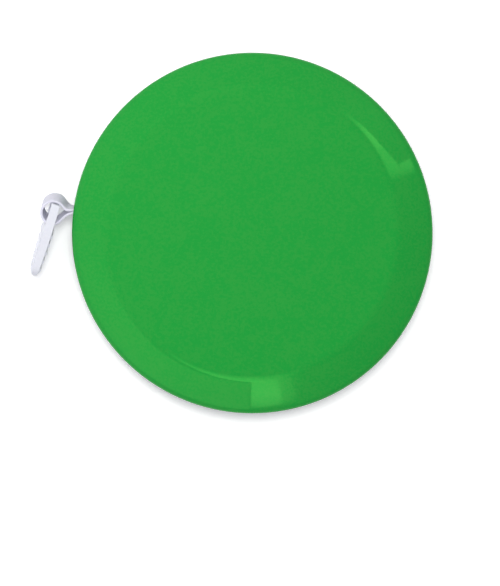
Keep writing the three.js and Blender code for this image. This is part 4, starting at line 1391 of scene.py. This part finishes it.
def pull_tab(settings):
    """The tab in its own frame: X to the tip, Y through its thickness, Z along the crossbar."""
    tip_round = TAB_TIP_THICKNESS / 2
    run = TAB_REACH - tip_round + TAB_HEAD
    stations = [-TAB_HEAD + run * i / SMALL_STEPS for i in range(SMALL_STEPS + 1)]
    lower = [(u, -tab_half_thickness(u)) for u in stations]
    nose = arc_points((TAB_REACH - tip_round, 0), tip_round, -math.pi / 2, math.pi / 2, 2 * ROUND_STEPS)
    upper = [(u, tab_half_thickness(u)) for u in reversed(stations)]
    tab = prism("moulded_tab", [*lower, *nose[1:-1], *upper], -TAB_HALF, TAB_HALF)
    right = [
        (-TAB_HEAD, -TAB_HALF, 0), (WINDOW_REACH, -TAB_HALF, WINDOW_CORNER_ROUND),
        (TAB_REACH, -TAB_TIP_HALF, TAB_CORNER_ROUND),
    ]
    left = [(u, -across, radius) for u, across, radius in reversed(right)]
    face = prism("face", rounded([*right, *left]), -TAB_GRIP_THICKNESS, TAB_GRIP_THICKNESS)
    combine(tab, moved(face, Matrix.Rotation(math.pi / 2, 4, "X")), "INTERSECT")
    window = block(
        "window", (-(TAB_HEAD + OVERRUN), -TAB_GRIP_THICKNESS, -WINDOW_HALF),
        (WINDOW_REACH, TAB_GRIP_THICKNESS, WINDOW_HALF),
    )
    combine(tab, window, "DIFFERENCE")
    bar_half = TAB_HALF - (TAB_HALF - WINDOW_HALF) / 2
    combine(tab, post("crossbar", (0, 0), CROSSBAR_RADIUS, -bar_half, bar_half), "UNION")
    combine(tab, tab_ribs(settings), "UNION")
    remesh = tab.modifiers.new("remesh", "REMESH")
    remesh.mode = "VOXEL"
    remesh.voxel_size = TAB_VOXEL
    soften = tab.modifiers.new("soften", "SMOOTH")
    soften.factor = 0.5
    soften.iterations = TAB_SOFTENINGS
    return settled(tab)


class TAPE_OT_pull_tab(bpy.types.Operator):
    """Make the moulded pull tab, with its window, crossbar and grip ribs"""
    bl_idname = "tape_measure.pull_tab"
    bl_label = "Pull Tab"

    def execute(self, context):
        tab = pull_tab(context.scene.tape_measure_tab)
        leaned = Matrix.Translation(PIVOT) @ Matrix.Rotation(LOOP_LEAN, 4, "X")
        moved(tab, leaned @ Matrix.Rotation(TAB_ANGLE, 4, "Z") @ Matrix.Rotation(TAB_TWIST, 4, "X"))
        tab.data.shade_smooth()
        dress(tab, "white_moulding", "tab", ["pull_tab"])
        return {"FINISHED"}


# Drum and what it runs on
def drum_body():
    edge = MOULD_ROUND
    flange_top = FLANGE_BOTTOM + FLANGE_THICKNESS
    corners = [
        (JOURNAL_RADIUS, FLANGE_BOTTOM, edge), (FLANGE_RADIUS, FLANGE_BOTTOM, 2 * edge),
        (FLANGE_RADIUS, flange_top, 2 * edge), (HUB_RADIUS, flange_top, edge), (HUB_RADIUS, HUB_TOP, edge),
        (CHAMBER_RADIUS, HUB_TOP, edge), (CHAMBER_RADIUS, flange_top, edge),
        (JOURNAL_RADIUS + JOURNAL_WALL, flange_top, edge),
        (JOURNAL_RADIUS + JOURNAL_WALL, flange_top + JOURNAL_HEIGHT, edge / 2),
        (JOURNAL_RADIUS, flange_top + JOURNAL_HEIGHT, edge / 2),
    ]
    drum = turned("drum_hub", rounded(corners))
    half = SPRING_THICKNESS / 2 + LOOSE_GAP
    hook = block(
        "hook_notch", (-half, CHAMBER_RADIUS - OVERRUN, SPRING_BOTTOM - LOOSE_GAP),
        (half, HUB_RADIUS + OVERRUN, HUB_TOP + OVERRUN),
    )
    half = TAPE_THICKNESS / 2 + LOOSE_GAP
    tail = block(
        "tail_notch", (-half, -(HUB_RADIUS + OVERRUN), TAPE_BOTTOM - LOOSE_GAP),
        (half, -(COIL_INNER - TAPE_TAIL - LOOSE_GAP), HUB_TOP + OVERRUN),
    )
    return combine(combine(drum, hook, "DIFFERENCE"), tail, "DIFFERENCE")


def drum_cap():
    edge = MOULD_ROUND
    plug_outer = CHAMBER_RADIUS - LOOSE_GAP
    plug_inner = plug_outer - CAP_PLUG_WALL
    dish_top = DISH_BOTTOM + CAP_THICKNESS
    return turned("drum_lid", rounded([
        (JOURNAL_RADIUS, DISH_BOTTOM, edge), (DISH_RADIUS + CAP_THICKNESS, DISH_BOTTOM, edge),
        (DISH_RADIUS + CAP_THICKNESS, CAP_BOTTOM, edge), (plug_inner, CAP_BOTTOM, edge),
        (plug_inner, CAP_BOTTOM - CAP_PLUG_DEPTH, edge), (plug_outer, CAP_BOTTOM - CAP_PLUG_DEPTH, edge),
        (plug_outer, CAP_BOTTOM, edge), (FLANGE_RADIUS, CAP_BOTTOM, 2 * edge),
        (FLANGE_RADIUS, CAP_TOP, 2 * edge), (DISH_RADIUS, CAP_TOP, edge), (DISH_RADIUS, dish_top, edge),
        (JOURNAL_RADIUS, dish_top, edge),
    ]))


def arbor():
    post_top = BOSS_BOTTOM - CLOSE_GAP
    made = turned("centre_post", rounded([
        (0, ARBOR_BOTTOM, 0), (ARBOR_RADIUS, ARBOR_BOTTOM, MOULD_ROUND),
        (ARBOR_RADIUS, post_top, MOULD_ROUND), (0, post_top, 0),
    ]))
    combine(made, hexagon("key", KEY_ACROSS, BOSS_BOTTOM - FACE_WALL, KEY_TOP), "UNION")
    bore = post("bore", (0, 0), ARBOR_BORE, ARBOR_BOTTOM - OVERRUN, ARBOR_BOTTOM + BORE_DEPTH)
    combine(made, bore, "DIFFERENCE")
    half = SPRING_THICKNESS / 2 + LOOSE_GAP
    slit = block(
        "slit", (TANG_START - LOOSE_GAP, -half, SPRING_BOTTOM - LOOSE_GAP),
        (ARBOR_RADIUS + OVERRUN, half, SPRING_TOP + OVERRUN),
    )
    return combine(made, slit, "DIFFERENCE")


def flat_ring(name, inner, outer, bottom, top):
    return turned(name, rounded_box(inner, outer, bottom, top, min(MOULD_ROUND, (top - bottom) / 3)))


def wave_washer():
    """The wave washer rises and falls round its ring."""
    middle = (WAVE_BOTTOM + WAVE_TOP - WAVE_THICKNESS) / 2
    amplitude = middle - WAVE_BOTTOM
    section = rounded_box(
        WASHER_RADIUS - WASHER_BAND, WASHER_RADIUS, 0, WAVE_THICKNESS, WAVE_THICKNESS / 4, 2,
    )
    sections = []
    for i in range(PART_STEPS):
        angle = FULL_TURN * i / PART_STEPS
        rise = middle - amplitude * math.cos(WAVES * angle)
        sections.append([(*polar(radius, angle), rise + z) for radius, z in section])
    return lofted("sprung_washer", sections, closed=True)


class TAPE_OT_drum(bpy.types.Operator):
    """Make the drum, its lid, the arbor it turns on, the brake ring and the two washers"""
    bl_idname = "tape_measure.drum"
    bl_label = "Drum, Arbor and Brake"

    def execute(self, context):
        dress(crisp(drum_body()), "natural_moulding", "drum", ["drum_body"])
        dress(crisp(drum_cap()), "natural_moulding", "drum", ["drum_cap"])
        dress(crisp(arbor()), "natural_moulding", "case", ["arbor"])
        brake = flat_ring("friction_ring", BRAKE_RADIUS - BRAKE_BAND, BRAKE_RADIUS, BRAKE_BOTTOM, BRAKE_TOP)
        dress(smooth(brake), "friction_rubber", "case", ["brake_ring"])
        thrust = flat_ring(
            "sliding_washer", WASHER_RADIUS - WASHER_BAND, WASHER_RADIUS, THRUST_BOTTOM, THRUST_TOP,
        )
        dress(smooth(thrust), "natural_moulding", "drum", ["thrust_washer"])
        bottom, top = (0, 0, WAVE_BOTTOM), (0, 0, WAVE_TOP)
        dress(smooth(wave_washer()), "blued_steel", "button", ["wave_washer"], blend=("case", bottom, top))
        return {"FINISHED"}


# Stage
PHOTO_TO_FRAME = Matrix.Rotation(PHOTO_TURN, 4, "Z")
WINDOW_HEIGHT = 0.3
FLOOR_SIZE = 12.0
FLOOR_DROP = 0.02 * MM
FLOOR_WHITE = 1.35
SURROUND_TINT = (0.94, 0.92, 1.0)
LAMP_TINT = (1.0, 1.01, 0.97)
SURROUND_TILT = 0.35
SURROUND_WAY = math.radians(150)

# Lamps: the share of the light that they give, where they stand in the photograph, their angle from the
# vertical, distance and width as an angle, and whether they throw shadows
TOP_LAMP = {
    "share": 0.37, "azimuth": math.radians(84), "incline": math.radians(4.5), "distance": 12,
    "width": math.radians(10), "shadow": True,
}
SIDE_LAMP = {
    "share": 0.19, "azimuth": math.radians(147), "incline": math.radians(34), "distance": 0.17,
    "width": math.radians(30), "shadow": False,
}

# Soft light that the rim mirrors from all round: azimuth in degrees in the photograph, share of the glow
SKY = (
    (-91, 0.34), (-130, 0.34), (-180, 0.1), (-210, 0.08), (-250, 0.05), (-290, 0.08), (-315, 0.18),
    (-330, 0.12), (-345, 0.05), (-360, 0.03), (-390, 0.03), (-410, 0.05), (-430, 0.1), (-450, 0.1),
)
SKY_HEIGHT = 0.33

# A veil of it lies over the face and grows towards the upper left
SKY_VEIL = 0.07
SKY_VEIL_WAY = 135

# Where the sky changes, as distances from the case's axis in sky heights: round its middle, over the face,
# where the rim mirrors it, and at its end
SKY_MIDDLE = 0.001
SKY_FACE = (0.09, 0.8)
SKY_RIM = (0.84, 1.9)
SKY_END = 2.6

# Windows that the rim mirrors: stations of (azimuth in degrees in the photograph, then points across the
# window as (distance from the case's axis in window heights, share of the glow))
LOWER_STRIP = (
    (-127, (0.25, 0), (0.40, 0.0), (0.47, 0.0), (0.52, 0.0)),
    (-122, (0.25, 0), (0.34, 0.1), (0.44, 0.35), (0.53, 0.35)),
    (-115, (0.24, 0), (0.33, 0.1), (0.46, 0.5), (0.57, 0.55)),
    (-105, (0.22, 0), (0.32, 0.2), (0.48, 0.8), (0.68, 0.85)),
    (-90.5, (0.18, 0), (0.31, 0.42), (0.48, 0.8), (0.76, 0.95)),
    (-80, (0.18, 0), (0.31, 0.36), (0.48, 0.5), (0.645, 0.65)),
    (-75, (0.2, 0), (0.33, 0.2), (0.48, 0.28), (0.645, 0.3)),
    (-67, (0.24, 0), (0.34, 0), (0.48, 0), (0.645, 0)),
)
LOWER_BAR = (
    (-90.5, (0.645, 0.93), (1.2, 0.95), (1.62, 0.6), (1.84, 0)),
    (-86, (0.645, 0.87), (1.2, 1.0), (1.62, 0.65), (1.84, 0)),
    (-80.6, (0.645, 0.7), (1.2, 0.95), (1.6, 0.6), (1.76, 0)),
    (-79.2, (0.645, 0.45), (1.2, 0.45), (1.6, 0.3), (1.74, 0)),
    (-75.5, (0.645, 0.33), (1.2, 0.33), (1.5, 0.2), (1.72, 0)),
    (-74, (0.645, 0.15), (1.2, 0.05), (1.5, 0), (1.7, 0)),
    (-70, (0.645, 0), (1.2, 0), (1.5, 0), (1.7, 0)),
)
UPPER_BODY = (
    (20.5, (0.57, 0), (0.76, 0), (1.0, 0.03), (1.21, 0.04)),
    (23.2, (0.57, 0), (0.76, 0.3), (1.0, 0.45), (1.21, 0.45)),
    (25.7, (0.6, 0), (0.78, 0.45), (1.0, 0.6), (1.18, 0.62)),
    (30, (0.62, 0), (0.79, 0.42), (0.98, 0.6), (1.09, 0.6)),
    (33, (0.64, 0), (0.8, 0.36), (0.95, 0.6), (1.05, 0.6)),
    (35, (0.68, 0), (0.81, 0.36), (0.93, 0.8), (1.02, 0.9)),
    (41, (0.72, 0), (0.83, 0.32), (0.91, 0.8), (0.99, 0.95)),
    (46, (0.76, 0), (0.85, 0.26), (0.91, 0.42), (0.97, 0.5)),
    (54, (0.84, 0), (0.88, 0), (0.92, 0.05), (0.94, 0.05)),
)
UPPER_FOOT = (
    (20.5, (1.21, 0.04), (1.6, 0.1), (1.75, 0.06), (1.85, 0)),
    (23.2, (1.21, 0.45), (1.6, 0.58), (1.75, 0.5), (1.85, 0)),
    (25.6, (1.21, 0.62), (1.6, 0.65), (1.75, 0.45), (1.85, 0)),
)


def seen_white(tree):
    """1 for rays that look straight, in a mirror or through glass, else 0."""
    path = node(tree, "ShaderNodeLightPath").outputs
    seen = maths(tree, "MAXIMUM", path["Is Camera Ray"], path["Is Glossy Ray"])
    return maths(tree, "MAXIMUM", seen, path["Is Transmission Ray"])


def bare_material(name):
    """A material without any nodes."""
    material = bpy.data.materials.new(name)
    material.use_nodes = True
    material.node_tree.nodes.clear()
    return material, material.node_tree


def floor_material(colour):
    """A pale matt floor that reads as white in the open and keeps its shadows."""
    material, tree = bare_material("floor_paper")
    seen = mixed(tree, seen_white(tree), (*colour, 1), (FLOOR_WHITE, FLOOR_WHITE, FLOOR_WHITE, 1))
    paper = node(tree, "ShaderNodeBsdfDiffuse", {"Color": seen}).outputs["BSDF"]
    node(tree, "ShaderNodeOutputMaterial", {"Surface": paper})
    return material


def window_pane(name, stations, glow, material, height=WINDOW_HEIGHT):
    """A flat lamp over the case, whose glow changes across it and which the world shows through."""
    work = bmesh.new()
    level = work.verts.layers.float.new("glow")
    rows = []
    for azimuth, *points in stations:
        way = Matrix.Rotation(math.radians(azimuth) + PHOTO_TURN, 3, "Z") @ Vector((height, 0, 0))
        row = []
        for reach, share in points:
            corner = work.verts.new(way * reach + Vector((0, 0, height)))
            corner[level] = share * glow
            row.append(corner)
        rows.append(row)
    for first, second in zip(rows, rows[1:]):
        for i in range(len(first) - 1):
            work.faces.new((first[i], second[i], second[i + 1], first[i + 1]))
    mesh = bpy.data.meshes.new(name)
    work.to_mesh(mesh)
    work.free()
    mesh.materials.append(material)
    pane = new_object(name, mesh)
    pane.visible_camera = False
    pane.visible_shadow = False
    pane.visible_diffuse = False


def sky_stations():
    """The soft light all round as stations of a window pane."""
    stations = []
    for azimuth, share in SKY:
        veil = SKY_VEIL * (1 + math.cos(math.radians(azimuth - SKY_VEIL_WAY)))
        points = (
            (SKY_MIDDLE, SKY_VEIL), *[(reach, veil) for reach in SKY_FACE],
            *[(reach, share) for reach in SKY_RIM], (SKY_END, 0),
        )
        stations.append((azimuth, *points))
    return stations


def window_glow():
    """Light as strong as the pane's own level, which what lies behind shows through."""
    material, tree = bare_material("window_glow")
    level = node(tree, "ShaderNodeAttribute", attribute_name="glow").outputs["Fac"]
    light = node(tree, "ShaderNodeEmission", {"Strength": level}).outputs["Emission"]
    through = node(tree, "ShaderNodeBsdfTransparent").outputs["BSDF"]
    both = node(tree, "ShaderNodeAddShader", {0: light, 1: through}).outputs["Shader"]
    node(tree, "ShaderNodeOutputMaterial", {"Surface": both})
    return material


def lamp(name, share, azimuth, incline, distance, width, shadow):
    """A round lamp that gives a share of the light on the face, and isn't mirrored."""
    data = bpy.data.lights.new(name, "AREA")
    data.shape = "DISK"
    data.size = 2 * distance * math.tan(width / 2)
    data.energy = share * (math.pi * distance) ** 2 / math.cos(incline)
    data.color = LAMP_TINT
    data.use_shadow = shadow
    made = new_object(name, data)
    inclined = Vector((math.sin(incline), 0, math.cos(incline)))
    way = Matrix.Rotation(azimuth + PHOTO_TURN, 3, "Z") @ inclined
    made.location = way * distance
    made.rotation_euler = way.to_track_quat("Z", "Y").to_euler()
    made.visible_glossy = False
    made.visible_camera = False


def surround(level):
    """Soft light from all sides, white where it is seen. Where it is mirrored, the upper left is brighter."""
    world = bpy.data.worlds.new("surround")
    world.use_nodes = True
    tree = world.node_tree
    way = (*polar(1, SURROUND_WAY + PHOTO_TURN), 0)
    direction = node(tree, "ShaderNodeTexCoord").outputs["Generated"]
    lean = node(
        tree, "ShaderNodeVectorMath", {0: direction, 1: way}, operation="DOT_PRODUCT",
    ).outputs["Value"]
    mirrored = node(tree, "ShaderNodeLightPath").outputs["Is Glossy Ray"]
    tilt = maths(tree, "MULTIPLY_ADD", maths(tree, "MULTIPLY", lean, mirrored), SURROUND_TILT, 1.0)
    given = (*[level * part for part in SURROUND_TINT], 1)
    feed(tree, tree.nodes["Background"], {"Color": mixed(tree, seen_white(tree), given, tilt)})
    bpy.context.scene.world = world


def photo_camera():
    """A camera at the photograph's view: straight down on the face, turned as the photograph is."""
    scale = CASE_RADIUS / CASE_RADIUS_PIXELS
    middle = Vector((PHOTO_WIDTH / 2, PHOTO_HEIGHT / 2))
    offset = Vector((middle.x - CASE_CENTRE_PIXEL.x, CASE_CENTRE_PIXEL.y - middle.y, 0)) * scale
    data = bpy.data.cameras.new("photo_camera")
    data.sensor_width = SENSOR
    data.lens = SENSOR * CAMERA_DISTANCE / (PHOTO_HEIGHT * scale)
    data.clip_end = 10 * CAMERA_DISTANCE
    camera = new_object("photo_camera", data)
    camera.location = PHOTO_TO_FRAME @ offset + Vector((0, 0, SEAM_HEIGHT + CAMERA_DISTANCE))
    camera.rotation_euler = (0, 0, PHOTO_TURN)
    bpy.context.scene.camera = camera


class TAPE_OT_stage(bpy.types.Operator):
    """Set the stage: floor, surround, lamps, windows and the camera at the photograph's view"""
    bl_idname = "tape_measure.stage"
    bl_label = "Stage"

    def execute(self, context):
        stage = context.scene.tape_measure_stage
        half = FLOOR_SIZE / 2
        floor = block("floor", (-half, -half, -FLOOR_DROP - OVERRUN), (half, half, -FLOOR_DROP))
        floor.data.materials.append(floor_material(stage.floor))
        material = window_glow()
        window_pane("sky", sky_stations(), stage.glow, material, SKY_HEIGHT)
        for name, stations in (
            ("lower_strip", LOWER_STRIP), ("lower_bar", LOWER_BAR), ("upper_body", UPPER_BODY),
            ("upper_foot", UPPER_FOOT),
        ):
            window_pane(name, stations, stage.glow, material)
        lamp("top_lamp", **TOP_LAMP)
        lamp("side_lamp", **SIDE_LAMP)
        surround(stage.surround)
        photo_camera()
        context.scene.view_settings.view_transform = "Standard"
        return {"FINISHED"}


class TAPE_PT_pieces(bpy.types.Panel):
    """The pieces of the tape measure and their settings"""
    bl_label = "Tape Measure"
    bl_idname = "TAPE_PT_pieces"
    bl_space_type = "VIEW_3D"
    bl_region_type = "UI"
    bl_category = "Tape Measure"

    def draw(self, context):
        for name in SETTINGS:
            settings = getattr(context.scene, name)
            box = self.layout.box()
            for setting in settings.__annotations__:
                box.prop(settings, setting)
        for operator in OPERATORS:
            self.layout.operator(operator.bl_idname)


OPERATORS = (
    TAPE_OT_stage, TAPE_OT_covers, TAPE_OT_button, TAPE_OT_pull_tab, TAPE_OT_end_loop, TAPE_OT_free_tape,
    TAPE_OT_coil, TAPE_OT_mainspring, TAPE_OT_drum,
)
CLASSES = (*SETTINGS.values(), *OPERATORS, TAPE_PT_pieces)


def register():
    for listed in CLASSES:
        bpy.utils.register_class(listed)
    for name, settings in SETTINGS.items():
        setattr(bpy.types.Scene, name, bpy.props.PointerProperty(type=settings))


def unregister():
    for name in SETTINGS:
        delattr(bpy.types.Scene, name)
    for listed in reversed(CLASSES):
        bpy.utils.unregister_class(listed)


def main():
    register()
    bpy.ops.tape_measure.stage()
    bpy.ops.tape_measure.covers()
    bpy.ops.tape_measure.button()
    bpy.ops.tape_measure.pull_tab()
    bpy.ops.tape_measure.end_loop()
    bpy.ops.tape_measure.free_tape()
    bpy.ops.tape_measure.coil()
    bpy.ops.tape_measure.mainspring()
    bpy.ops.tape_measure.drum()


if __name__ == "__main__":
    main()
